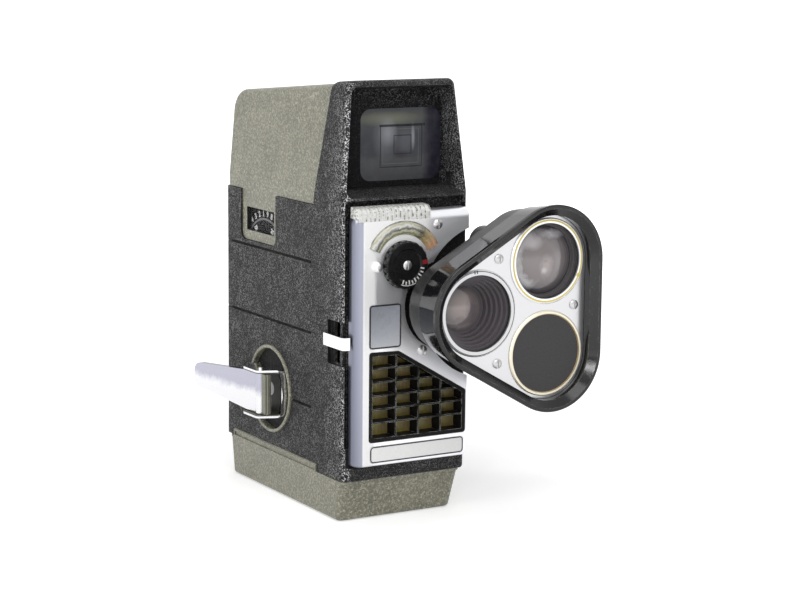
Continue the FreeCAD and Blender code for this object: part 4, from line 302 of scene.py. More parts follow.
# The finder glass from its foot to its top, and its gleams: painted reflections, highlights and shade.
FINDER_STOPS = ((0.0, (0.058, 0.059, 0.064)), (0.28, (0.075, 0.076, 0.082)), (0.36, (0.055, 0.056, 0.064)),
                (0.62, (0.062, 0.064, 0.074)), (0.80, (0.080, 0.084, 0.086)), (0.90, (0.098, 0.100, 0.092)),
                (1.0, (0.070, 0.073, 0.078)))
FINDER_GLEAMS = (
    Gleam(-5.6, 9.0, 8.4, 1.7, (0.25, 0.26, 0.19), 0.55, 0.7),
    Gleam(-6.6, 2.6, 3.4, 5.6, (0.20, 0.205, 0.225), 0.55, 0.6),
    Gleam(-5.6, 4.4, 2.4, 3.2, (0.36, 0.37, 0.40), 0.55, 0.7),
    Gleam(1.6, 1.4, 3.2, 3.6, (0.13, 0.132, 0.150), 0.6, 0.5),
    Gleam(0.4, -3.8, 2.8, 1.0, (0.035, 0.034, 0.040), 0.6, 0.5),
    Gleam(4.6, 2.6, 0.6, 3.6, (0.36, 0.37, 0.40), 0.6, 0.5),
)
FINDER_LINES = (
    ((-8.6, 8.4, -8.0, 6.6), 0.34, (0.012, 0.012, 0.014), 0.85),
    ((-8.8, 9.6, 6.4, 6.9), 0.34, (0.008, 0.008, 0.010), 0.85),
    ((-3.2, 3.8, -3.4, 3.1), 0.34, (0.020, 0.020, 0.024), 0.85),
    ((-7.6, 6.9, -6.8, 5.4), 0.20, (0.19, 0.20, 0.21), 0.45),
)
# The face plate's tones along a slant across it: painted shading, duller to the right.
FACE_STOPS = (
    (0.0, (0.90, 0.91, 0.94)), (0.30, (0.93, 0.93, 0.95)), (0.55, (0.90, 0.90, 0.94)),
    (0.80, (0.90, 0.91, 0.95)), (1.0, (0.86, 0.86, 0.90)),
)


class Graph:
    """Adds nodes to a node tree and joins them."""

    def __init__(self, tree: Tree) -> None:
        """Keeps the tree."""
        self.tree = tree

    def node(self, kind: str, **settings: object) -> Node:
        """Adds a node of a kind and sets its own properties."""
        node = self.tree.nodes.new(kind)
        for name, value in settings.items():
            setattr(node, name, value)
        return node

    def feed(self, socket: Socket, value: object) -> None:
        """Links a socket into another, or writes a plain value on it."""
        if isinstance(value, Socket):
            self.tree.links.new(value, socket)
        elif value is not None:
            socket.default_value = value

    def fill(self, node: Node, values: dict[str, object]) -> None:
        """Feeds several of a node's sockets by name."""
        for name, value in values.items():
            self.feed(node.inputs[name], value)

    def math(self, work: str, first: object, second: object = None, third: object = None,
             clamp: bool = False) -> Socket:
        """A Math node's result."""
        node = self.node("ShaderNodeMath", operation=work, use_clamp=clamp)
        for socket, value in zip(node.inputs, (first, second, third)):
            self.feed(socket, value)
        return node.outputs[0]

    def spread(self, value: object, low: float, high: float, to_low: float = 0.0,
               to_high: float = 1.0) -> Socket:
        """A value moved from one range to another, and kept inside it."""
        node = self.node("ShaderNodeMapRange", clamp=True)
        for index, item in enumerate((value, low, high, to_low, to_high)):
            self.feed(node.inputs[index], item)
        return node.outputs[0]

    def mix(self, share: object, first: object, second: object, blend: str = "MIX") -> Socket:
        """Two colours mixed."""
        node = self.node("ShaderNodeMix", data_type="RGBA", blend_type=blend)
        self.feed(node.inputs[0], share)
        for index, item in ((6, first), (7, second)):
            self.feed(node.inputs[index], (*item, 1.0) if isinstance(item, tuple) else item)
        return node.outputs[2]

    def noise(self, vector: object, scale: object, detail: float = 2.0, roughness: float = 0.5,
              distortion: float = 0.0) -> Socket:
        """A noise texture's value."""
        node = self.node("ShaderNodeTexNoise")
        self.fill(node, {"Vector": vector, "Scale": scale, "Detail": detail, "Roughness": roughness,
                         "Distortion": distortion})
        return node.outputs[0]

    def times(self, first: object, second: object, clamp: bool = False) -> Socket:
        """The product of two values."""
        return self.math("MULTIPLY", first, second, clamp=clamp)

    def less(self, first: object, second: object) -> Socket:
        """A value less another."""
        return self.math("SUBTRACT", first, second)

    def most(self, first: object, second: object) -> Socket:
        """The greater of two values."""
        return self.math("MAXIMUM", first, second)

    def reach(self, first: object, second: object) -> Socket:
        """The length of two sides at a right angle."""
        return self.math("SQRT", self.math("MULTIPLY_ADD", first, first, self.times(second, second)))

    def off(self, value: object, low: float, high: float) -> Socket:
        """How far a value lies from the middle of a span."""
        return self.math("ABSOLUTE", self.less(value, (low + high) / 2))

    def inside(self, value: object, span: Point, start: float, end: float) -> Socket:
        """1 within a span, fading from one distance to another beyond its ends."""
        half = (span[1] - span[0]) / 2
        return self.spread(self.off(value, *span), half + start, half + end, 1.0, 0.0)

    def parts(self, vector: object) -> tuple[Socket, ...]:
        """The three parts of a vector."""
        node = self.node("ShaderNodeSeparateXYZ")
        self.feed(node.inputs[0], vector)
        return tuple(node.outputs)

    def ramp(self, value: object, stops: Stops) -> Socket:
        """A colour ramp over a value."""
        node = self.node("ShaderNodeValToRGB")
        band = node.color_ramp
        while len(band.elements) < len(stops):
            band.elements.new(0.5)
        for element, (place, colour) in zip(band.elements, stops):
            element.position = place
            element.color = (*colour, 1.0)
        self.feed(node.inputs[0], value)
        return node.outputs[0]


@dataclass
class EffectGroups:
    """The shared surface effects, each a node group that is built once."""

    made: dict[str, Tree] = field(default_factory=dict)

    def start(self, name: str, inputs: Iterable[tuple[str, str, object]],
              outputs: Iterable[tuple[str, str]]) -> tuple[Graph, Node, Node]:
        """Makes an empty group with named sockets.

        Args:
            name: What the effect is called.
            inputs: Each input's name, kind and value.
            outputs: Each output's name and kind.

        Returns:
            The graph, and its input and output nodes.
        """
        tree = bpy.data.node_groups.new(name, "ShaderNodeTree")
        for label, kind, value in inputs:
            socket = tree.interface.new_socket(label, in_out="INPUT", socket_type=kind)
            if value is not None:
                socket.default_value = value
        for label, kind in outputs:
            tree.interface.new_socket(label, in_out="OUTPUT", socket_type=kind)
        graph = Graph(tree)
        self.made[name] = tree
        return graph, graph.node("NodeGroupInput"), graph.node("NodeGroupOutput")

    def grain(self, kind: Grain) -> Tree:
        """The group for a kind of grain: it turns a place in grains into a height and a shade."""
        name = kind.value + " grain"
        if name in self.made:
            return self.made[name]
        graph, given, result = self.start(
            name, [("Place", "NodeSocketVector", None)],
            [("Height", "NodeSocketFloat"), ("Shade", "NodeSocketFloat")])
        place = given.outputs["Place"]
        height, shade = getattr(self, "shape_" + kind.value)(graph, place)
        graph.fill(result, {"Height": height, "Shade": shade})
        return self.made[name]

    def shape_crinkle(self, graph: Graph, place: object) -> tuple[object, object]:
        """Wrinkle enamel: short winding ridges, with painted glints on their crests in places."""
        wide = graph.noise(place, 1.0, 2.0, 0.5, 0.8)
        ridge = graph.math("ABSOLUTE", graph.math("MULTIPLY_ADD", wide, 2.0, -1.0))
        ridge = graph.spread(ridge, 0.05, 0.22, 1.0, 0.0)
        fine = graph.noise(place, 2.2, 2.0, 0.5)
        height = graph.math("MULTIPLY_ADD", fine, 0.5, ridge)
        crest = graph.times(ridge, graph.spread(fine, 0.46, 0.56))
        patch = graph.spread(graph.noise(place, 0.16, 2.0), 0.36, 0.62, 0.45, 1.0)
        return height, graph.times(crest, patch, clamp=True)

    def shape_hammer(self, graph: Graph, place: object) -> tuple[object, object]:
        """Hammer enamel: small rounded grains in a random mottle, with painted shade in the hollows between them
        and their tops painted paler as highlights.
        """
        swirl = graph.node("ShaderNodeVectorMath", operation="ADD")
        noise = graph.node("ShaderNodeTexNoise")
        graph.fill(noise, {"Vector": place, "Scale": 1.1})
        graph.feed(swirl.inputs[0], place)
        graph.feed(swirl.inputs[1], noise.outputs[1])
        cells = graph.node("ShaderNodeTexVoronoi", feature="SMOOTH_F1")
        graph.fill(cells, {"Vector": swirl.outputs[0], "Scale": 1.0, "Smoothness": 0.9})
        height = graph.spread(cells.outputs["Distance"], 0.05, 0.65, 1.0, 0.0)
        fine = graph.noise(place, 1.9, 3.0, 0.6)
        slow = graph.noise(place, 0.07, 2.0)
        shade = graph.times(graph.spread(fine, 0.34, 0.66), graph.spread(height, 0.15, 0.85, 0.25, 1.0))
        return height, graph.math("MULTIPLY_ADD", slow, 0.25, shade, clamp=True)

    def shape_brushed(self, graph: Graph, place: object) -> tuple[object, object]:
        """Fine lines along the stretched direction of the place."""
        lines = graph.noise(place, 1.0, 5.0, 0.7)
        broad = graph.noise(place, 0.12, 2.0)
        return lines, graph.math("MULTIPLY_ADD", broad, 0.5, graph.times(lines, 0.5), clamp=True)

    def shape_cast(self, graph: Graph, place: object) -> tuple[object, object]:
        """A fine even tooth."""
        fine = graph.noise(place, 1.0, 3.0, 0.65)
        return fine, graph.spread(graph.noise(place, 0.35, 3.0, 0.6), 0.3, 0.7)

    def shape_smooth(self, graph: Graph, place: object) -> tuple[object, object]:
        """A polished face with slow waves and faint smears."""
        slow = graph.noise(place, 1.0, 1.0)
        smear = graph.noise(place, 3.3, 4.0, 0.6, 0.8)
        return slow, graph.spread(smear, 0.35, 0.7)

    def wear_and_glint(self) -> Tree:
        """The group for edge marks: a mask that is 1 along edges in patches, for rubbed paint on most finishes
        and for painted glints on the grid's black.
        """
        if "edge wear" in self.made:
            return self.made["edge wear"]
        graph, given, result = self.start(
            "edge wear", [("Width", "NodeSocketFloat", 0.0005), ("Amount", "NodeSocketFloat", 0.3)],
            [("Mask", "NodeSocketFloat")])
        edge = graph.node("ShaderNodeBevel", samples=4)
        graph.feed(edge.inputs["Radius"], given.outputs["Width"])
        plain = graph.node("ShaderNodeNewGeometry")
        dot = graph.node("ShaderNodeVectorMath", operation="DOT_PRODUCT")
        graph.feed(dot.inputs[0], edge.outputs[0])
        graph.feed(dot.inputs[1], plain.outputs["Normal"])
        near = graph.spread(dot.outputs["Value"], 0.995, 0.90)
        place = graph.node("ShaderNodeTexCoord")
        patches = graph.spread(graph.noise(place.outputs["Object"], 420.0, 4.0, 0.65), 0.42, 0.62)
        amount = graph.times(patches, given.outputs["Amount"])
        graph.feed(result.inputs["Mask"], graph.times(near, amount, clamp=True))
        return self.made["edge wear"]

    def dust(self) -> Tree:
        """The group for dust: a mask that settles on faces that look up, in patches."""
        if "settled dust" in self.made:
            return self.made["settled dust"]
        graph, given, result = self.start(
            "settled dust", [("Amount", "NodeSocketFloat", 0.1)], [("Mask", "NodeSocketFloat")])
        plain = graph.node("ShaderNodeNewGeometry")
        up = graph.spread(graph.parts(plain.outputs["Normal"])[2], -0.3, 1.0, 0.15, 1.0)
        place = graph.node("ShaderNodeTexCoord")
        soft = graph.spread(graph.noise(place.outputs["Object"], 90.0, 4.0, 0.6), 0.3, 0.75)
        specks = graph.spread(graph.noise(place.outputs["Object"], 2600.0, 1.0), 0.62, 0.70)
        cover = graph.math("MULTIPLY_ADD", specks, 0.8, soft)
        mask = graph.times(graph.times(cover, up), given.outputs["Amount"], clamp=True)
        graph.feed(result.inputs["Mask"], mask)
        return self.made["settled dust"]


@dataclass
class Paint:
    """A material at work: its graph and its one shader."""

    material: Material
    graph: Graph
    shader: Node

    def close(self, values: dict[str, object], height: object = None, depth_mm: float = 0.0) -> Material:
        """Finishes the material.

        Args:
            values: What each of the shader's sockets takes.
            height: The relief, which goes to the shader's normal through a Bump node.
            depth_mm: How deep the relief is.

        Returns:
            The material.
        """
        self.graph.fill(self.shader, values)
        if height is not None:
            bump = self.graph.node("ShaderNodeBump")
            self.graph.fill(bump, {"Distance": depth_mm * MM, "Strength": 1.0, "Height": height})
            self.graph.feed(self.shader.inputs["Normal"], bump.outputs[0])
        return self.material


@dataclass
class PaintShop:
    """Makes each material once, from its finish or its own drawing."""

    effects: EffectGroups = field(default_factory=EffectGroups)
    made: dict[str, Material] = field(default_factory=dict)

    def blank(self, name: str) -> tuple[Paint, Graph]:
        """A new material with only a Principled shader and its output, and its graph."""
        material = bpy.data.materials.new(name)
        material.use_nodes = True
        material.node_tree.nodes.clear()
        graph = Graph(material.node_tree)
        shader = graph.node("ShaderNodeBsdfPrincipled")
        output = graph.node("ShaderNodeOutputMaterial")
        graph.feed(output.inputs["Surface"], shader.outputs[0])
        self.made[name] = material
        return Paint(material, graph, shader), graph

    def place(self, graph: Graph, size_mm: float, brush: Colour = EVEN) -> Socket:
        """The place on the object in units of a grain, drawn out along a brushed direction."""
        spot = graph.node("ShaderNodeTexCoord")
        stretch = graph.node("ShaderNodeMapping")
        stretch.inputs["Scale"].default_value = [part / (size_mm * MM) for part in brush]
        graph.feed(stretch.inputs["Vector"], spot.outputs["Object"])
        return stretch.outputs["Vector"]

    def cloud(self, graph: Graph, size_mm: float, detail: float, roughness: float = 0.5,
              distortion: float = 0.0, brush: Colour = EVEN) -> Socket:
        """Noise in patches of a size."""
        return graph.noise(self.place(graph, size_mm, brush), 1.0, detail, roughness, distortion)

    def effect(self, graph: Graph, tree: Tree, **values: object) -> Node:
        """Places one of the shared groups with its own values."""
        node = graph.node("ShaderNodeGroup")
        node.node_tree = tree
        graph.fill(node, values)
        return node

    def grained(self, graph: Graph, kind: Grain, size_mm: float,
                brush: Colour = EVEN) -> tuple[Socket, Socket]:
        """The height and the shade of a grain."""
        grain = self.effect(graph, self.effects.grain(kind), Place=self.place(graph, size_mm, brush))
        return grain.outputs["Height"], grain.outputs["Shade"]

    def edge_wear_and_glint(self, graph: Graph, width_mm: float, amount: float) -> Socket:
        """A mask of rubbed edges, which also makes the painted glints on the grid's edges."""
        return self.effect(graph, self.effects.wear_and_glint(), Width=width_mm * MM, Amount=amount).outputs["Mask"]

    def dusty(self, graph: Graph, amount: float) -> Socket:
        """A mask of settled dust."""
        return self.effect(graph, self.effects.dust(), Amount=amount).outputs["Mask"]

    def painted(self, name: str, finish: Finish,
                stain: Callable[[Graph, Socket], Socket] | None = None) -> Material:
        """A finish with its grain, edge marks and dust.

        Args:
            name: What the material is called.
            finish: The finish.
            stain: Changes the colour under the edge marks and the dust, if given.

        Returns:
            The material.
        """
        if name in self.made:
            return self.made[name]
        paint, graph = self.blank(name)
        height, shade = self.grained(graph, finish.grain, finish.size_mm, finish.brush)
        colour = graph.mix(shade, finish.colour, finish.second)
        if stain:
            colour = stain(graph, colour)
        # Edge marks: rubbed paint, and on the grid's black painted glints.
        if finish.wear_and_glint:
            colour = graph.mix(self.edge_wear_and_glint(graph, finish.wear_and_glint_mm, finish.wear_and_glint), colour, finish.wear_and_glint_colour)
        dust = self.dusty(graph, finish.dust)
        rough = graph.spread(shade, 0.0, 1.0, *finish.roughness)
        return paint.close({
            "Base Color": graph.mix(dust, colour, DUST_COLOUR),
            "Roughness": graph.math("MULTIPLY_ADD", dust, 0.35, rough, clamp=True),
            "Metallic": finish.metallic, "Coat Weight": finish.coat, "Coat Roughness": 0.12,
            "Specular IOR Level": finish.specular,
        }, height, finish.bump_mm)

    def finish(self, finish: Finish) -> Material:
        """The material of a finish."""
        return self.painted(finish.name, finish)

    def cover_paint(self) -> Material:
        """The khaki paint of the upper cover, black on the inner edges of the footage window."""

        def blacken(graph: Graph, colour: Socket) -> Socket:
            """The colour with the window's edges blackened."""
            _, y, z = self.millimetres(graph)
            edge = graph.times(graph.inside(y, WINDOW_Y, 0.03, 0.12), graph.inside(z, WINDOW_Z, 0.03, 0.12))
            return graph.mix(edge, colour, (0.005, 0.005, 0.005))

        return self.painted("cover paint", KHAKI, blacken)

    def millimetres(self, graph: Graph) -> list[Socket]:
        """The place on the object in millimetres."""
        spot = graph.node("ShaderNodeTexCoord")
        return [graph.times(part, 1000.0) for part in graph.parts(spot.outputs["Object"])]

    def facing(self, graph: Graph) -> Socket:
        """The normal on the object."""
        return graph.node("ShaderNodeTexCoord").outputs["Normal"]

    def from_centre(self, graph: Graph, centre: Point) -> tuple[Socket, Socket, Socket]:
        """Millimetres across and up from a centre on the front, and how far that is."""
        x, _, z = self.millimetres(graph)
        across, up = graph.less(x, centre[0]), graph.less(z, centre[1])
        return across, up, graph.reach(across, up)

    def oval(self, graph: Graph, across: object, up: object, gleam: Gleam) -> Socket:
        """The mask of a soft oval patch."""
        first = graph.math("DIVIDE", graph.less(across, gleam.across), gleam.half_w)
        second = graph.math("DIVIDE", graph.less(up, gleam.up), gleam.half_h)
        far = graph.reach(first, second)
        return graph.spread(far, 1.0 - gleam.soft, 1.0 + gleam.soft, gleam.strength, 0.0)

    def band(self, graph: Graph, far: object, radii: Point, soft: float = 0.06) -> Socket:
        """A mask that is 1 between two radii."""
        inner = graph.spread(far, radii[0] - soft, radii[0] + soft)
        return graph.times(inner, graph.spread(far, radii[1] - soft, radii[1] + soft, 1.0, 0.0))

    def line_box(self, graph: Graph, across: object, up: object, box: Box, width: float) -> Socket:
        """A mask of thin lines round a box, in millimetres."""
        left, right, foot, top = box
        sides = [graph.less(graph.off(value, low, high), (high - low) / 2)
                 for value, low, high in ((across, left, right), (up, foot, top))]
        edge = graph.math("ABSOLUTE", graph.most(*sides))
        return graph.spread(edge, 0.3 * width, 0.7 * width, 1.0, 0.0)

    def amber(self) -> Material:
        """The arched window: cream streaks painted as reflections in its glass over an olive scale, brown and
        orange at its right end.
        """
        paint, graph = self.blank("amber window")
        across, up, far = self.from_centre(graph, DIAL)
        turn = graph.times(graph.math("ARCTAN2", up, across), 180.0 / math.pi)
        along = graph.spread(turn, 155.0, 25.0)
        sway = self.cloud(graph, 3.2, 3.0, 0.6, 0.8)
        depth = graph.math("MULTIPLY_ADD", sway, 0.5, graph.spread(far, *SCALE_RADII, -0.25, 0.75))
        fine = self.cloud(graph, 0.7, 2.0)
        share = graph.times(graph.spread(along, 0.60, 0.76), graph.spread(fine, 0.3, 0.7, 1.0, 0.55))
        colour = graph.mix(share, graph.ramp(depth, SCALE_STREAKS), graph.ramp(along, SCALE_RIGHT))
        rim = graph.spread(far, SCALE_RADII[1] - 0.45, SCALE_RADII[1] - 0.15)
        rim = graph.times(rim, graph.spread(sway, 0.35, 0.6, 0.3, 0.9))
        return paint.close({
            "Base Color": graph.mix(rim, colour, (0.05, 0.045, 0.03)),
            "Roughness": graph.spread(sway, 0.3, 0.7, 0.10, 0.20),
            "Coat Weight": 0.8, "Coat Roughness": 0.04,
        }, sway, 0.004)

    def cell(self) -> Material:
        """The light cell: olive patches behind a ribbed glass, each with painted shade to its right, where the
        grid's bars cast it.
        """
        paint, graph = self.blank("light cell")
        x, _, z = self.millimetres(graph)
        (wide, high), (left, foot) = CELL_PITCH, CELL_START
        column = graph.math("FRACT", graph.math("MULTIPLY_ADD", x, 1.0 / wide, 8.0 - left / wide))
        row = graph.math("FRACT", graph.math("MULTIPLY_ADD", z, 1.0 / high, 40.0 - foot / high))
        colour = graph.ramp(graph.math("MULTIPLY_ADD", row, -0.12, column), CELL_STOPS)
        ribs = graph.math("SINE", graph.times(x, math.tau / 0.6))
        cloud = self.cloud(graph, 3.0, 3.0, 0.6)
        return paint.close({
            "Base Color": graph.mix(graph.spread(cloud, 0.45, 0.75, 0.0, 0.5), colour, (0.30, 0.16, 0.06)),
            "Roughness": graph.spread(cloud, 0.3, 0.7, 0.14, 0.30),
            "Coat Weight": 0.1, "Coat Roughness": 0.06,
        }, ribs, 0.03)

    def optical(self) -> Material:
        """The taking lens's glass, with an amber coating and faint smears."""
        paint, graph = self.blank("coated lens")
        smear = self.cloud(graph, 5.0, 4.0, 0.6, 0.6)
        milky = graph.spread(smear, 0.4, 0.8, 0.0, 0.25)
        return paint.close({
            "Base Color": graph.mix(milky, (0.86, 0.80, 0.72), (0.92, 0.92, 0.92)),
            "Roughness": graph.spread(smear, 0.45, 0.8, 0.015, 0.065),
            "Transmission Weight": 1.0, "IOR": 1.52, "Specular Tint": (1.0, 0.86, 0.72, 1.0),
            "Specular IOR Level": 0.6,
        })

    def pane(self) -> Material:
        """A thin clear window: faint smears that let almost all the light through."""
        paint, graph = self.blank("window pane")
        smear = self.cloud(graph, 4.0, 4.0, 0.6, 0.6)
        return paint.close({
            "Base Color": graph.mix(smear, (0.03, 0.03, 0.03), (0.10, 0.10, 0.10)),
            "Roughness": graph.spread(smear, 0.45, 0.8, 0.04, 0.14),
            "Alpha": graph.spread(smear, 0.3, 0.7, 0.05, 0.12),
        })

    def dome(self, name: str, centre: Point, radius: float, stops: Stops,
             gleams: Sequence[Gleam]) -> Material:
        """A coated lens, painted with its reflections, highlights and shade, and the soft light that lies in its
        depth.

        Args:
            name: What the lens is called.
            centre: Its middle on the front, in millimetres.
            radius: Its radius in millimetres.
            stops: The colours from its middle to its edge, darker towards the edge as painted shade.
            gleams: The painted highlights, reflections and shade, from the lowest to the highest.

        Returns:
            The material.
        """
        paint, graph = self.blank(name)
        across, up, far = self.from_centre(graph, centre)
        cloud = self.cloud(graph, 4.0, 3.0, 0.6, 1.2)
        sway = graph.math("MULTIPLY_ADD", cloud, 3.0, -1.5)
        across, up = graph.math("ADD", across, sway), graph.math("ADD", up, sway)
        colour = graph.ramp(graph.math("DIVIDE", far, radius), stops)
        for gleam in gleams:
            colour = graph.mix(self.oval(graph, across, up, gleam), colour, gleam.colour)
        # Pale rings painted as reflections towards the glass's right side.
        lines = graph.math("FRACT", graph.times(far, 1.0 / LENS_RIB_MM))
        lines = graph.spread(graph.math("ABSOLUTE", graph.less(lines, 0.5)), 0.38, 0.5)
        lines = graph.times(lines, graph.spread(across, 0.25 * radius, 0.8 * radius, 0.0, 0.4))
        lines = graph.times(lines, graph.spread(far, 0.4 * radius, 0.6 * radius))
        return paint.close({
            "Base Color": graph.mix(lines, colour, (0.42, 0.41, 0.43)),
            "Roughness": graph.spread(cloud, 0.3, 0.7, 0.03, 0.09),
            "Coat Weight": 0.6, "Coat Roughness": 0.02, "Transmission Weight": 0.25, "IOR": 1.5,
        })

    def lens_cell(self, name: str, centre: Point, zones: Sequence[Zone],
                  depth: Zone | None = None) -> Material:
        """A black lens cell with the bright rings of its front.

        Args:
            name: What the cell is called.
            centre: Its middle on the front, in millimetres.
            zones: The rings on its front face.
            depth: A ring that takes the lens's colour inside the mouth.

        Returns:
            The material.
        """
        paint, graph = self.blank(name)
        _, _, far = self.from_centre(graph, centre)
        along = self.millimetres(graph)[1]
        height, shade = self.grained(graph, Grain.CAST, 0.3)
        colour = graph.mix(shade, (0.012, 0.012, 0.013), (0.030, 0.030, 0.032))
        colour = graph.mix(self.edge_wear_and_glint(graph, 0.16, 1.4), colour, (0.24, 0.24, 0.25))
        if depth:
            inside = graph.spread(along, CELL_FRONT_Y + 0.3, CELL_FRONT_Y + 1.2)
            inside = graph.times(self.band(graph, far, depth.radii, 0.7), inside)
            colour = graph.mix(inside, colour, depth.colour)
        front = graph.spread(along, CELL_FRONT_Y, CELL_FRONT_Y - 0.1)
        bright = 0.0
        for zone in zones:
            mask = graph.times(front, self.band(graph, far, zone.radii))
            colour = graph.mix(mask, colour, zone.colour)
            bright = graph.math("MULTIPLY_ADD", mask, zone.metallic, bright, clamp=True)
        return paint.close({
            "Base Color": colour, "Metallic": bright,
            "Roughness": graph.spread(bright, 0.0, 1.0, 0.5, 0.3), "Specular IOR Level": 0.3,
        }, height, 0.008)

    def turret_skin(self) -> Material:
        """The turret's housing: a satin band at its back and gloss black from its step to its rim."""
        paint, graph = self.blank("turret skin")
        along = self.millimetres(graph)[1]
        gloss = graph.spread(along, SATIN_END_Y + 0.05, SATIN_END_Y - 0.05)
        height, shade = self.grained(graph, Grain.CAST, 0.45)
        satin = graph.mix(shade, (0.010, 0.010, 0.010), (0.040, 0.040, 0.039))
        speck = graph.spread(self.cloud(graph, 0.55, 2.0), 0.70, 0.74)
        black = graph.mix(graph.times(speck, 0.5), (0.006, 0.006, 0.007), (0.20, 0.20, 0.20))
        edge_wear_and_glint = graph.times(self.edge_wear_and_glint(graph, 0.3, 0.9), 0.8)
        return paint.close({
            "Base Color": graph.mix(edge_wear_and_glint, graph.mix(gloss, satin, black), (0.28, 0.28, 0.28)),
            "Roughness": graph.math("MULTIPLY_ADD", shade, 0.10, graph.spread(gloss, 0.0, 1.0, 0.40, 0.07)),
            "Specular IOR Level": 0.42,
        }, graph.times(height, graph.spread(gloss, 0.0, 1.0, 1.0, 0.06)), 0.03)

    def badges(self) -> Material:
        """The bare badges: the small one grey, with painted shading that makes it paler to its foot, the long
        one white.
        """
        paint, graph = self.blank("badge enamel")
        x, _, z = self.millimetres(graph)
        small = graph.spread(z, *BADGE_SPLIT_Z)
        slope = graph.math("MULTIPLY_ADD", x, 0.02, graph.spread(z, SMALL_BADGE[3], SMALL_BADGE[2], 0.2, 0.9))
        grey = graph.ramp(slope, BADGE_STOPS)
        cloud = self.cloud(graph, 2.5, 4.0, 0.6)
        white = graph.mix(graph.spread(cloud, 0.35, 0.75, 0.0, 0.6), (0.93, 0.93, 0.92), (0.84, 0.84, 0.84))
        return paint.close({
            "Base Color": graph.mix(small, white, grey),
            "Roughness": graph.spread(cloud, 0.3, 0.7, 0.22, 0.36), "Coat Weight": 0.3,
        }, cloud, 0.004)

    def casting(self) -> Material:
        """Wrinkle enamel on the casting: dark, with painted glints on its crests that are strongest on its
        rounded left front corner, painted shadow in its gaps, and some rubbed edges.
        """
        paint, graph = self.blank("casting paint")
        x, y, z = self.millimetres(graph)
        height, crest = self.grained(graph, Grain.CRINKLE, CRINKLE_MM)
        shadow = self.casting_shadow(graph, x, y, z)
        crest = graph.times(crest, graph.spread(shadow, 0.0, 1.0, 1.0, 0.12))
        slow = graph.spread(self.cloud(graph, 16.0, 3.0, 0.6), 0.3, 0.7)
        dark = graph.mix(slow, (0.010, 0.0095, 0.0105), (0.019, 0.018, 0.020))
        # Painted shadow: the enamel turns black in its gaps and recesses.
        dark = graph.mix(shadow, dark, PAINTED_SHADOW_BLACK)
        # Painted glint: the crests turn near white, most where they face the light.
        colour = graph.mix(graph.times(crest, self.casting_glint(graph, y)), dark, (0.95, 0.95, 0.97))
        colour = graph.mix(self.edge_wear_and_glint(graph, 0.4, 0.35), colour, (0.38, 0.38, 0.37))
        gloss = graph.spread(graph.less(crest, shadow), 0.0, 1.0, 0.16, 0.7)
        return paint.close({
            "Base Color": graph.mix(self.dusty(graph, 0.05), colour, DUST_COLOUR),
            "Roughness": graph.spread(crest, 0.0, 1.0, 0.58, 0.24), "Specular IOR Level": gloss,
        }, height, 0.20)

    def casting_glint(self, graph: Graph, y: object) -> Socket:
        """How strong the painted glints on the crests are: most where the casting faces the light, on its
        rounded left front corner, and less behind it.
        """
        normal = self.facing(graph)
        dot = graph.node("ShaderNodeVectorMath", operation="DOT_PRODUCT")
        graph.feed(dot.inputs[0], normal)
        dot.inputs[1].default_value = GLINT_LOOK
        rounded = graph.spread(dot.outputs["Value"], 0.78, 0.96)
        sideways = graph.spread(graph.parts(normal)[0], -0.45, -0.65)
        near = graph.times(sideways, graph.spread(y, *CORNER_Y, 0.0, 0.50))
        return graph.spread(graph.most(rounded, near), 0.0, 1.0, 0.11, 1.0)

    def casting_shadow(self, graph: Graph, x: object, y: object, z: object) -> Socket:
        """Where shadow is painted black on the enamel: on the hood's lip, in the gap round the face plate, in
        the cover's seam, and on all that lies behind the footage window, as far as the door's outer side."""
        lip = graph.times(graph.spread(x, *HOOD_LIP_X[0]), graph.spread(x, *HOOD_LIP_X[1], 1.0, 0.0))
        lip = graph.times(lip, graph.inside(z, HOOD_LIP_Z, 0.0, 0.3))
        gap = graph.times(graph.inside(x, FACE_X, 1.0, 1.3), graph.inside(z, FACE_Z, 1.0, 1.3))
        gap = graph.times(gap, graph.spread(y, *MOUTH_Y))
        seam = graph.times(graph.spread(x, *SEAM_X[0]), graph.spread(x, *SEAM_X[1], 1.0, 0.0))
        window = graph.spread(x, LEFT_X + 0.8, LEFT_X + 1.2)
        for value, cover, opening in ((y, COVER_SEAM[0], WINDOW_Y), (z, COVER_SEAM[1], WINDOW_Z)):
            seam = graph.times(seam, graph.inside(value, cover, 0.0, 0.5))
            window = graph.times(window, graph.inside(value, opening, 1.0, 1.4))
        return graph.most(graph.most(lip, gap), graph.most(seam, window))

    def finder_glass(self) -> Material:
        """The finder's glass: dark, with the frame lines, painted reflections that stand for the soft light of
        the optics behind it, and painted shade to its right.
        """
        paint, graph = self.blank("finder glass")
        across, up, _ = self.from_centre(graph, FINDER)
        along = self.millimetres(graph)[1]
        colour = graph.ramp(graph.spread(up, -12.5, 12.5), FINDER_STOPS)
        for gleam in FINDER_GLEAMS:
            colour = graph.mix(self.oval(graph, across, up, gleam), colour, gleam.colour)
        for box, width, shade, share in FINDER_LINES:
            lines = graph.times(self.line_box(graph, across, up, box, width), share)
            colour = graph.mix(lines, colour, shade)
        # Painted shade along the glass's right side.
        side = graph.times(graph.spread(across, 8.6, 11.5), 0.92)
        colour = graph.mix(side, colour, (0.014, 0.012, 0.024))
        colour = graph.mix(graph.spread(along, -1.0, 1.0), colour, (0.020, 0.022, 0.026))
        cloud = self.cloud(graph, 5.0, 3.0, 0.6)
        return paint.close({
            "Base Color": graph.mix(graph.spread(cloud, 0.4, 0.8, 0.0, 0.2), colour, (0.16, 0.17, 0.18)),
            "Roughness": graph.spread(cloud, 0.3, 0.7, 0.16, 0.26), "Specular IOR Level": 0.10,
        })

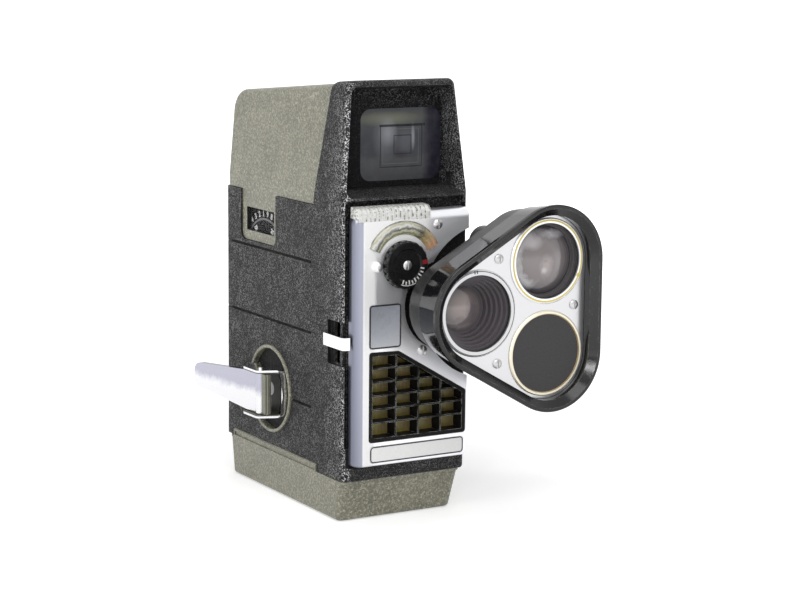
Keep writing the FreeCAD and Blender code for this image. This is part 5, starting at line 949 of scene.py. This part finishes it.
    def face_metal(self) -> Material:
        """The face plate's satin metal, with painted shade in a cool tone on its rounded side, a painted
        highlight near its top left and down its left, and painted shading that makes it duller to the right.
        """
        paint, graph = self.blank("face metal")
        x, _, z = self.millimetres(graph)
        height, shade = self.grained(graph, Grain.BRUSHED, 0.4, (0.06, 1.0, 1.0))
        lean = graph.math("MULTIPLY_ADD", z, -0.10, graph.math("ADD", x, 7.6))
        colour = graph.ramp(graph.spread(lean, -24.0, 24.0), FACE_STOPS)
        colour = graph.mix(graph.times(shade, 0.25), colour, (0.86, 0.86, 0.87))
        # Painted shade: the rounded side turns a cool dark tone.
        side = graph.spread(x, *FACE_SIDE_X, 1.0, 0.0)
        cool = graph.mix(graph.spread(x, *FACE_TURN_X), (0.18, 0.19, 0.24), (0.36, 0.37, 0.44))
        colour = graph.mix(side, colour, cool)
        # Painted highlight: near white and less metallic near the top left and down the left.
        lit = graph.times(graph.spread(z, *FACE_TOP_Z), graph.spread(x, *FACE_TOP_X, 1.0, 0.0))
        lit = graph.most(lit, graph.spread(x, *FACE_EDGE_X, 1.0, 0.0))
        lit = graph.times(lit, graph.spread(side, 0.0, 1.0, 1.0, 0.0))
        colour = graph.mix(lit, colour, (0.97, 0.97, 0.97))
        return paint.close({
            "Base Color": graph.mix(self.edge_wear_and_glint(graph, 0.5, 0.3), colour, (0.90, 0.90, 0.90)),
            "Roughness": graph.spread(shade, 0.0, 1.0, 0.26, 0.36),
            "Metallic": graph.spread(lit, 0.0, 1.0, 0.9, 0.12),
        }, height, 0.004)

    def strip_plastic(self) -> Material:
        """The light strip's white ribs, with small dark marks in the grooves between them."""
        paint, graph = self.blank("strip plastic")
        groove = graph.math("SINE", graph.times(self.millimetres(graph)[0], math.pi / STRIP_RIB_MM))
        groove = graph.math("ABSOLUTE", groove)
        broken = self.cloud(graph, 1.5, 3.0, 0.6, brush=(1.0, 1.6, 1.6))
        marks = graph.times(graph.spread(groove, 0.20, 0.55, 1.0, 0.0), graph.spread(broken, 0.47, 0.60))
        colour = graph.mix(graph.spread(broken, 0.3, 0.6), (0.92, 0.92, 0.91), (0.76, 0.76, 0.73))
        return paint.close({
            "Base Color": graph.mix(marks, colour, (0.16, 0.155, 0.12)),
            "Roughness": graph.spread(broken, 0.3, 0.7, 0.16, 0.30), "Coat Weight": 0.4,
        }, groove, 0.05)

    def funnel(self) -> Material:
        """The black paint inside the finder's mouth: bare at its foot, with bright painted glints on its crests
        on the top and right walls, where the light falls.
        """
        paint, graph = self.blank("funnel paint")
        x, _, z = self.millimetres(graph)
        height, shade = self.grained(graph, Grain.CRINKLE, CRINKLE_MM)
        # Painted highlight: the crests' specks turn bright on the top and right walls.
        high = graph.most(graph.spread(z, *FUNNEL_TOP_Z), graph.spread(x, *FUNNEL_RIGHT_X))
        specks = graph.times(shade, graph.spread(high, 0.0, 1.0, 0.02, 0.20))
        return paint.close({
            "Base Color": graph.mix(specks, (0.005, 0.005, 0.006), (0.85, 0.85, 0.87)),
            "Roughness": graph.spread(shade, 0.0, 1.0, 0.6, 0.35),
            "Specular IOR Level": graph.spread(specks, 0.0, 1.0, 0.08, 0.6),
        }, height, 0.12)

    def paddle_metal(self) -> Material:
        """The key's bright metal: painted shade in a cool tone along its upper half, a painted dark reflection
        on its top edge, dull at its root.
        """
        paint, graph = self.blank("key metal")
        _, y, z = self.millimetres(graph)
        smear = self.cloud(graph, 5.0, 4.0, 0.65, 0.8)
        # Painted shade: a cool grey over the paddle's upper half.
        slope = graph.math("MULTIPLY_ADD", smear, 5.0, graph.less(z, KEY_Z + 2.5))
        colour = graph.mix(graph.spread(slope, -1.2, 1.6), (0.74, 0.74, 0.76), (0.42, 0.42, 0.50))
        # Painted dark reflection on the faces that look up.
        upper = graph.spread(graph.parts(self.facing(graph))[2], 0.7, 0.9)
        colour = graph.mix(upper, colour, (0.02, 0.02, 0.02))
        root = graph.spread(y, *PADDLE_ROOT_Y, 1.0, 0.0)
        return paint.close({
            "Base Color": graph.mix(root, colour, graph.mix(smear, (0.13, 0.13, 0.10), (0.26, 0.26, 0.21))),
            "Roughness": graph.spread(smear, 0.3, 0.7, 0.10, 0.24),
            "Metallic": graph.spread(root, 0.0, 1.0, 0.95, 0.4),
        }, smear, 0.01)

    def strap_metal(self) -> Material:
        """The bracket's bright strap, with painted shade, dull and dark, on the web between its ears."""
        paint, graph = self.blank("strap metal")
        _, y, z = self.millimetres(graph)
        smear = self.cloud(graph, 3.0, 4.0, 0.65, 0.8)
        # Painted shade on the web inside the strap.
        web = graph.inside(z, (KEY_Z - WEB_HALF_MM, KEY_Z + WEB_HALF_MM), 0.0, 0.3)
        web = graph.times(web, graph.spread(y, *WEB_Y))
        dull = graph.mix(smear, (0.030, 0.029, 0.022), (0.075, 0.072, 0.055))
        return paint.close({
            "Base Color": graph.mix(web, (0.78, 0.78, 0.80), dull),
            "Metallic": graph.spread(web, 0.0, 1.0, 1.0, 0.2),
            "Roughness": graph.math("MULTIPLY_ADD", smear, 0.1, graph.spread(web, 0.0, 1.0, 0.06, 0.42)),
        }, smear, 0.004)

    def plain(self, name: str, colour: Colour, roughness: float) -> Material:
        """A small printed or enamelled surface with a faint mottle."""
        paint, graph = self.blank(name)
        mottle = self.cloud(graph, 1.0, 4.0, 0.6)
        darker = tuple(part * 0.78 for part in colour)
        return paint.close({
            "Base Color": graph.mix(graph.spread(mottle, 0.35, 0.75), colour, darker),
            "Roughness": graph.spread(mottle, 0.3, 0.7, roughness, roughness + 0.14),
        }, mottle, 0.004)


@dataclass
class Bench:
    """Turns meshes into pieces that ride on the model's bodies."""

    shop: PaintShop
    nodes: dict[str, bpy.types.Object]
    count: int = 0

    def print_on(self, body: str, name: str, mesh: Mesh, slot: str, material: Material) -> None:
        """Makes a flat-shaded print from a mesh that is already in the row frame.

        Args:
            body: The body that it rides on.
            name: What the piece is called.
            mesh: Its mesh, in metres.
            slot: The record's material slot; not used.
            material: Its material.
        """
        thing = bpy.data.objects.new(name, mesh)
        bpy.context.scene.collection.objects.link(thing)
        mesh.materials.clear()
        mesh.materials.append(material)
        for face in mesh.polygons:
            face.use_smooth = False
        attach(thing, body)
        self.count += 1
        LOG.info("print %s on %s", name, body)

    def dress_all(self, rows: Iterable[tuple[str, Material, float]]) -> None:
        """Dresses several nodes, each with its material and the width of its soft edge."""
        for row in rows:
            self.dress(*row)

    def dress(self, node: str, material: Material, bevel_mm: float = 0.0) -> None:
        """Gives a node of the model its material, and softens its sharp edges.

        Args:
            node: The node's name.
            material: Its material.
            bevel_mm: The width of the soft edge, or 0 for none.
        """
        thing = self.nodes[node]
        thing.data.materials.clear()
        thing.data.materials.append(material)
        if bevel_mm:
            soft = thing.modifiers.new("soft edge", "BEVEL")
            soft.width = bevel_mm * MM
            soft.segments = 2
            soft.limit_method = "ANGLE"
            soft.angle_limit = math.radians(38)
            soft.harden_normals = soft.use_clamp_overlap = True
        LOG.info("dressed %s in %s", node, material.name)


def mesh_from(name: str, points: Sequence[Vector], faces: Sequence[Sequence[int]]) -> Mesh:
    """A mesh from points and faces, with its normals turned outwards."""
    mesh = bpy.data.meshes.new(name)
    mesh.from_pydata([tuple(point) for point in points], [], [tuple(face) for face in faces])
    shell = bmesh.new()
    shell.from_mesh(mesh)
    bmesh.ops.remove_doubles(shell, verts=shell.verts, dist=1e-7)
    bmesh.ops.recalc_face_normals(shell, faces=shell.faces)
    shell.to_mesh(mesh)
    shell.free()
    return mesh


def disc_ring(name: str, centre: Point, radii: Point, low: float, high: float, steps: int = 96) -> Mesh:
    """A flat ring on a disc that faces the left side.

    Args:
        name: The mesh's name.
        centre: The disc's y and z in millimetres.
        radii: The ring's inner and outer radius.
        low: Its outer face's x.
        high: Its inner face's x.
        steps: How many facets go round.

    Returns:
        The mesh in metres.
    """
    inner, outer = radii
    points, faces = [], []
    for step in range(steps):
        for radius, along in ((inner, low), (outer, low), (outer, high), (inner, high)):
            points.append(mm(along, *around(centre, radius, 360.0 * step / steps)))
    for step in range(steps):
        here, after = 4 * step, 4 * ((step + 1) % steps)
        for corner in range(4):
            following = (corner + 1) % 4
            faces.append((here + corner, here + following, after + following, after + corner))
    return mesh_from(name, points, faces)


def plate(name: str, corners: Sequence[Point], low: float, high: float) -> Mesh:
    """A flat plate that faces the front.

    Args:
        name: The mesh's name.
        corners: Its outline, x and z in millimetres.
        low: Its front face's y in millimetres.
        high: Its rear face's y.

    Returns:
        The mesh in metres.
    """
    count = len(corners)
    points = [mm(x, along, z) for along in (low, high) for x, z in corners]
    faces = [tuple(range(count)), tuple(range(2 * count - 1, count - 1, -1))]
    faces += [(step, (step + 1) % count, count + (step + 1) % count, count + step) for step in range(count)]
    return mesh_from(name, points, faces)


def joined(name: str, meshes: Sequence[Mesh]) -> Mesh:
    """Several meshes as one."""
    shell = bmesh.new()
    for mesh in meshes:
        shell.from_mesh(mesh)
        bpy.data.meshes.remove(mesh)
    whole = bpy.data.meshes.new(name)
    shell.to_mesh(whole)
    shell.free()
    return whole


def arc_band(name: str, centre: Point, radii: Point, span: Point, low: float, high: float,
             steps: int = 48) -> Mesh:
    """A band between two radii over a span of degrees."""
    outline = []
    for radius, order in ((radii[1], range(steps + 1)), (radii[0], range(steps, -1, -1))):
        outline += [around(centre, radius, span[0] + (span[1] - span[0]) * step / steps) for step in order]
    return plate(name, outline, low, high)


def spoke(name: str, centre: Point, radii: Point, degrees: float, width: float, low: float,
          high: float) -> Mesh:
    """A short straight mark that points at a centre."""
    ends = []
    for radius, signs in ((radii[0], (-1, 1)), (radii[1], (1, -1))):
        middle = around(centre, radius, degrees)
        ends += [around(middle, width / 2 * sign, degrees + 90) for sign in signs]
    return plate(name, ends, low, high)


def rounded_box(box: Box, radius: float, steps: int = 5) -> list[Point]:
    """The outline of a box whose corners are rounded, from its left foot on."""
    left, right, foot, top = box
    outline = []
    for index, (u, v) in enumerate(((left, foot), (right, foot), (right, top), (left, top))):
        middle = (u + (radius if u == left else -radius), v + (radius if v == foot else -radius))
        turns = [180.0 + 90.0 * (index + step / steps) for step in range(steps + 1)]
        outline += [around(middle, radius, turn) for turn in turns]
    return outline


def outline_band(name: str, box: Box, radius: float, width: float, low: float, high: float) -> Mesh:
    """A thin line with rounded corners along the inside of a box on the front."""
    left, right, foot, top = box
    inner_box = (left + width, right - width, foot + width, top - width)
    rings = [rounded_box(box, radius), rounded_box(inner_box, radius - width)]
    count = len(rings[0])
    points = [mm(u, along, v) for along in (low, high) for ring in rings for u, v in ring]
    faces = []
    for first, second in ((0, 1), (3, 2), (2, 0), (1, 3)):
        for step in range(count):
            after = (step + 1) % count
            near, far = first * count, second * count
            faces.append((near + step, near + after, far + after, far + step))
    return mesh_from(name, points, faces)


def digits(name: str, text: str, size_mm: float, place: Callable[[float, float, float], Vector],
           weight_mm: float) -> Mesh:
    """Plain figures as a thin raised print.

    Args:
        name: The mesh's name.
        text: The figures.
        size_mm: Their height in millimetres.
        place: Turns across, up and out, in millimetres, into a point of the row frame.
        weight_mm: How much wider their strokes are on each side, in millimetres.

    Returns:
        The mesh in metres.
    """
    curve = bpy.data.curves.new(name, "FONT")
    curve.offset = weight_mm
    curve.body = text
    curve.size = size_mm / CAP_HEIGHT
    curve.align_x = curve.align_y = "CENTER"
    curve.extrude = 0.03
    curve.resolution_u = 3
    holder = bpy.data.objects.new(name, curve)
    mesh = bpy.data.meshes.new_from_object(holder)
    for vertex in mesh.vertices:
        vertex.co = place(*vertex.co)
    bpy.data.objects.remove(holder)
    bpy.data.curves.remove(curve)
    mesh.materials.clear()
    return mesh


@dataclass(frozen=True)
class Lamp:
    """A soft rectangular lamp: its place and size in metres and its power in watts."""

    name: str
    place: tuple[float, float, float]
    size: Point
    power: float


LAMPS = (
    Lamp("key lamp", (-0.15, -1.15, 1.05), (0.8, 0.8), 5.5),
    Lamp("left lamp", (-1.5, -0.25, 0.6), (0.9, 0.9), 7.0),
    Lamp("top lamp", (0.1, 0.3, 1.5), (1.0, 1.0), 4.0),
    Lamp("back lamp", (1.2, 1.0, 0.9), (1.2, 1.2), 4.0),
    Lamp("edge lamp", (-0.75, -0.95, 0.42), (0.05, 0.55), 1.6),
    Lamp("rim lamp", (-0.25, -0.35, 1.0), (0.45, 0.05), 1.2),
)


@dataclass
class Studio:
    """The floor, the soft lamps and the camera."""

    lens_mm: float = 98.33
    camera: tuple[float, float, float] = (-0.3889, -0.6952, 0.2053)
    aim: tuple[float, float, float] = (0.01546, -0.012, 0.07248)
    roll_deg: float = 0.54
    near_glow: float = 0.42
    glow_reach: tuple[float, float] = (0.12, 0.55)
    sky_light: float = 0.36

    def look(self, thing: bpy.types.Object, aim: Vector, roll: float = 0.0) -> None:
        """Turns an object's back to look at a point, with a roll in degrees."""
        away = (thing.location - aim).normalized()
        right = Vector((0, 0, 1)).cross(away).normalized()
        up = away.cross(right)
        turn = math.radians(roll)
        across = right * math.cos(turn) + up * math.sin(turn)
        thing.rotation_euler = Matrix((across, away.cross(across), away)).transposed().to_euler()

    def white_ray(self, graph: Graph) -> object:
        """1 for rays of the camera, of gloss and of glass, which see the white background."""
        path = graph.node("ShaderNodeLightPath")
        seen = graph.most(path.outputs["Is Camera Ray"], path.outputs["Is Glossy Ray"])
        return graph.most(seen, path.outputs["Is Transmission Ray"])

    def paper(self, shop: PaintShop) -> Material:
        """White paper: it takes the shadow near the part and is plain white further out."""
        paint, graph = shop.blank("floor paper")
        spot = graph.node("ShaderNodeTexCoord")
        far = graph.node("ShaderNodeVectorMath", operation="LENGTH")
        graph.feed(far.inputs[0], spot.outputs["Object"])
        glow = graph.spread(far.outputs["Value"], *self.glow_reach, self.near_glow, 1.0)
        return paint.close({
            "Base Color": (0.86, 0.86, 0.86, 1.0), "Roughness": 0.9, "Specular IOR Level": 0.1,
            "Emission Color": (1.0, 1.0, 1.0, 1.0),
            "Emission Strength": graph.times(glow, self.white_ray(graph)),
        })

    def floor(self, shop: PaintShop) -> None:
        """A wide pale floor that takes the shadow."""
        mesh = bpy.data.meshes.new("floor")
        reach = 6.0
        corners = [(-reach, -reach, 0), (reach, -reach, 0), (reach, reach, 0), (-reach, reach, 0)]
        mesh.from_pydata(corners, [], [(0, 1, 2, 3)])
        thing = bpy.data.objects.new("floor", mesh)
        thing.location.z = -0.0002
        bpy.context.scene.collection.objects.link(thing)
        mesh.materials.append(self.paper(shop))

    def sky(self) -> None:
        """An even pale world, white where it is seen."""
        world = bpy.data.worlds.new("studio")
        bpy.context.scene.world = world
        world.use_nodes = True
        world.node_tree.nodes.clear()
        graph = Graph(world.node_tree)
        light = graph.node("ShaderNodeBackground")
        output = graph.node("ShaderNodeOutputWorld")
        light.inputs["Color"].default_value = (1.0, 1.0, 1.0, 1.0)
        strength = graph.spread(self.white_ray(graph), 0.0, 1.0, self.sky_light, 1.0)
        graph.feed(light.inputs["Strength"], strength)
        graph.feed(output.inputs["Surface"], light.outputs[0])

    def lamp(self, lamp: Lamp) -> None:
        """One soft lamp that looks at the part."""
        light = bpy.data.lights.new(lamp.name, "AREA")
        light.shape = "RECTANGLE"
        light.size, light.size_y = lamp.size
        light.energy = lamp.power
        thing = bpy.data.objects.new(lamp.name, light)
        thing.location = lamp.place
        bpy.context.scene.collection.objects.link(thing)
        self.look(thing, Vector((0.0, 0.0, 0.07)))

    def build(self, shop: PaintShop) -> None:
        """Sets up the whole studio."""
        self.floor(shop)
        self.sky()
        for lamp in LAMPS:
            self.lamp(lamp)
        camera = bpy.data.cameras.new("camera")
        camera.lens = self.lens_mm
        camera.sensor_width = 36.0
        camera.sensor_fit = "HORIZONTAL"
        camera.clip_start = 0.01
        thing = bpy.data.objects.new("camera", camera)
        thing.location = self.camera
        bpy.context.scene.collection.objects.link(thing)
        self.look(thing, Vector(self.aim), self.roll_deg)
        bpy.context.scene.camera = thing
        bpy.context.scene.view_settings.view_transform = "Standard"


@dataclass
class BodyShell:
    """The casting, covers, base and film door."""

    bench: Bench
    soft_edge_mm: float = 0.35

    def build(self) -> None:
        """Dresses the shell."""
        shop, soft = self.bench.shop, self.soft_edge_mm
        casting, khaki, steel = shop.casting(), shop.finish(KHAKI), shop.finish(STEEL)
        self.bench.dress_all((
            ("body_casting", casting, soft), ("film_door", casting, soft), ("key_disc", casting, soft),
            ("upper_cover", shop.cover_paint(), soft), ("base_cover", khaki, soft),
            ("key_escutcheon", khaki, 0.0), ("tripod_socket", steel, 0.0), ("door_hinge_pins", steel, 0.0),
            ("door_latch", shop.finish(CHROME), 0.15),
        ))


@dataclass
class FacePlate:
    """The silver plate with its strip, dial, window, badges and light cell."""

    bench: Bench
    face_y: float = -4.6
    dial_front_y: float = -7.6

    def build(self) -> None:
        """Dresses the plate and adds its printed and set-in details."""
        shop = self.bench.shop
        self.bench.dress_all((
            ("face_plate", shop.face_metal(), 0.2),
            ("face_screws", shop.finish(STEEL), 0.1),
            ("light_strip", shop.strip_plastic(), 0.1),
            ("cell_grid", shop.finish(GRID_BLACK), 0.1),
            ("selenium_cell", shop.cell(), 0.0),
            ("face_badges", shop.badges(), 0.0),
            ("exposure_dial", shop.finish(DIAL_BLACK), 0.12),
            ("dial_screw", shop.finish(STEEL), 0.1),
            ("scale_window", shop.amber(), 0.0),
            ("scale_plate", shop.plain("scale card", (0.60, 0.55, 0.32), 0.5), 0.0),
            ("meter_movement", shop.finish(PLATE), 0.0),
            ("meter_needle", shop.finish(MATT_BLACK), 0.0),
        ))
        self.badge_lines()
        self.dial_marks()

    def badge_lines(self) -> None:
        """Thin black lines round the two bare badges."""
        enamel = self.bench.shop.plain("badge line", (0.02, 0.02, 0.02), 0.3)
        front = self.face_y - 0.1
        for name, box, radius, width in (("small_badge_line", SMALL_BADGE, 1.1, 0.45),
                                         ("long_badge_line", LONG_BADGE, 1.3, 0.4)):
            line = outline_band(name, box, radius, width, front - 0.06, front + PRINT_ROOT_MM)
            self.bench.print_on("camera_body", name, line, "black_plastic", enamel)

    def dial_marks(self) -> None:
        """The dial's white ticks and its red mark."""
        front = self.dial_front_y
        white = self.bench.shop.plain("white print", (0.80, 0.80, 0.77), 0.4)
        red = self.bench.shop.plain("red print", (0.30, 0.012, 0.02), 0.35)
        depth = (front - 0.05, front + PRINT_ROOT_MM)
        ticks = [arc_band("arc", DIAL, (7.0, 7.25), (-112.0, -62.0), *depth)]
        for index in range(9):
            long = 1.5 if index % 2 == 0 else 1.1
            ticks.append(spoke("tick", DIAL, (6.8 - long, 6.8), -108.0 + 12.0 * index, 0.5, *depth))
        self.bench.print_on("dial", "dial_ticks", joined("dial_ticks", ticks), "white_plastic", white)
        mark = spoke("dial_mark", DIAL, (6.0, 8.0), 7.0, 1.5, front - 0.06, front + PRINT_ROOT_MM)
        self.bench.print_on("dial", "dial_mark", mark, "white_plastic", red)


@dataclass
class Turret:
    """The triangular turret with its three lenses."""

    bench: Bench
    face_y: float = -27.0

    def build(self) -> None:
        """Dresses the turret and adds its rings."""
        shop = self.bench.shop
        self.bench.dress_all((
            ("turret_housing", shop.turret_skin(), 0.2),
            ("turret_face", shop.finish(SILVER), 0.12),
            ("turret_base", shop.finish(SATIN_BLACK), 0.2),
            ("turret_screws", shop.finish(STEEL), 0.1),
            ("turret_shaft", shop.finish(STEEL), 0.1),
            ("turret_detent", shop.finish(STEEL), 0.0),
            ("taking_lens_barrel", shop.finish(MATT_BLACK), 0.1),
            ("taking_lens_glass", shop.optical(), 0.0),
            ("normal_cell", shop.lens_cell("normal cell", NORMAL, NORMAL_RINGS, NORMAL_DEPTH), 0.1),
            ("tele_cell", shop.lens_cell("tele cell", TELE, TELE_RINGS, TELE_DEPTH), 0.1),
            ("wide_cell", shop.lens_cell("wide cell", WIDE, WIDE_RINGS), 0.1),
            ("normal_glass", shop.dome("normal lens", NORMAL, 8.0, NORMAL_STOPS, NORMAL_GLEAMS), 0.0),
            ("tele_glass", shop.dome("tele lens", TELE, 12.2, TELE_STOPS, TELE_GLEAMS), 0.0),
            ("wide_glass", shop.finish(DARK_DISC), 0.0),
        ))
        self.marks(shop)

    def marks(self, shop: PaintShop) -> None:
        """The yellow mark of the tele ring and the two ticks over the normal one."""
        front = self.face_y - 0.7
        yellow = shop.plain("yellow mark", (0.75, 0.62, 0.16), 0.35)
        wedge = spoke("tele_mark", TELE, (13.7, 15.2), -24.0, 1.1, front - 0.08, front + PRINT_ROOT_MM)
        self.bench.print_on("turret", "tele_mark", wedge, "white_plastic", yellow)
        dark = shop.plain("dark print", (0.03, 0.03, 0.03), 0.4)
        ticks = [spoke("tick", NORMAL, (14.0, 15.1), degrees, 0.4, front - 0.05, front + PRINT_ROOT_MM)
                 for degrees in (93.0, 97.0)]
        self.bench.print_on("turret", "normal_ticks", joined("normal_ticks", ticks), "black_plastic", dark)


@dataclass
class Finder:
    """The big viewfinder in the hood and its eyepiece."""

    bench: Bench

    def build(self) -> None:
        """Dresses the finder."""
        shop = self.bench.shop
        self.bench.dress("finder_mask", shop.funnel(), 0.15)
        self.bench.dress("finder_glasses", shop.finder_glass())
        self.bench.dress("finder_eyepiece", shop.finish(BLACK_PLASTIC), 0.2)


@dataclass
class WindingKey:
    """The folding key on the left side."""

    bench: Bench

    def build(self) -> None:
        """Dresses the key."""
        self.bench.dress("key_bracket", self.bench.shop.strap_metal(), 0.12)
        self.bench.dress("key_paddle", self.bench.shop.paddle_metal(), 0.2)


@dataclass
class FootageWindow:
    """The footage disc behind its window in the cover's tongue."""

    bench: Bench
    disc_x: float = -21.92
    pane_x: float = -22.5
    stroke_mm: float = 0.1
    figures: int = 36
    figure_mm: float = 2.1
    figure_radius: float = 18.85
    band_radii: Point = (16.5, 17.3)
    limit_mm: float = 1.7
    limit_radius: float = 14.4
    limit_turn: float = 27.0

    def printed(self, text: str, size: float, face_x: float, radius: float, turn: float) -> Mesh:
        """A plain number that stands upright at a turn from the top, in radians, round the disc's axis."""

        def place(across: float, up: float, out: float) -> Vector:
            """A point of the print on the outer side."""
            y = COUNTER[0] + (radius + up) * math.sin(turn) - across * math.cos(turn)
            z = COUNTER[1] + (radius + up) * math.cos(turn) + across * math.sin(turn)
            return mm(face_x - out, y, z)

        return digits("figure", text, size, place, self.stroke_mm)

    def build(self) -> None:
        """Dresses the window and prints the disc and the window's inner face."""
        shop = self.bench.shop
        self.bench.dress("counter_window", shop.pane())
        self.bench.dress("counter_disc", shop.finish(DISC_BLACK))
        white = shop.plain("figure print", (0.96, 0.96, 0.95), 0.4)
        turns = [math.tau * (index + 0.5) / self.figures for index in range(self.figures)]
        figures = [self.printed(f"{index % 9 + 1}", self.figure_mm, self.disc_x, self.figure_radius, turn)
                   for index, turn in enumerate(turns)]
        limits = [self.printed(text, self.limit_mm, self.pane_x, self.limit_radius, math.radians(turn))
                  for text, turn in (("50", self.limit_turn), ("25", -self.limit_turn))]
        band = disc_ring("footage_band", COUNTER, self.band_radii, self.disc_x - 0.05, self.disc_x + 0.05)
        grey = shop.plain("grey print", (0.22, 0.22, 0.24), 0.4)
        for body, name, mesh, material in (
                ("counter", "footage_figures", joined("footage_figures", figures), white),
                ("counter", "footage_band", band, grey),
                ("camera_body", "footage_limits", joined("footage_limits", limits), white)):
            self.bench.print_on(body, name, mesh, "white_plastic", material)


@dataclass
class Works:
    """The drive, the gate and the spools inside."""

    bench: Bench

    def build(self) -> None:
        """Dresses every hidden piece."""
        shop = self.bench.shop
        finishes = {
            "ratchet_pawl": STEEL, "winding_arbor": STEEL, "mainspring_barrel": BRASS, "mainspring": BLUED,
            "second_wheel": BRASS, "drive_shaft": STEEL, "shutter": MATT_BLACK, "governor": BRASS,
            "mechanism_plate": PLATE, "supply_spool": GLOSS_BLACK, "takeup_spool": GLOSS_BLACK,
            "supply_spindle": STEEL, "takeup_spindle": STEEL, "film_gate": CHROME, "pressure_plate": STEEL,
            "film_claw": STEEL,
        }
        for node, finish in finishes.items():
            self.bench.dress(node, shop.finish(finish))
        self.bench.dress("release_lever", shop.finish(CHROME), 0.15)


def main() -> None:
    """Builds the looks of the whole camera in order."""
    logging.basicConfig(level=logging.INFO, format="%(name)s: %(message)s")
    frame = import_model()
    shop = PaintShop()
    bench = Bench(shop, frame["nodes"])
    Studio().build(shop)
    for section in (BodyShell, FacePlate, Turret, Finder, WindingKey, FootageWindow, Works):
        section(bench).build()
    LOG.info("%d pieces made", bench.count)


if __name__ == "__main__":
    main()
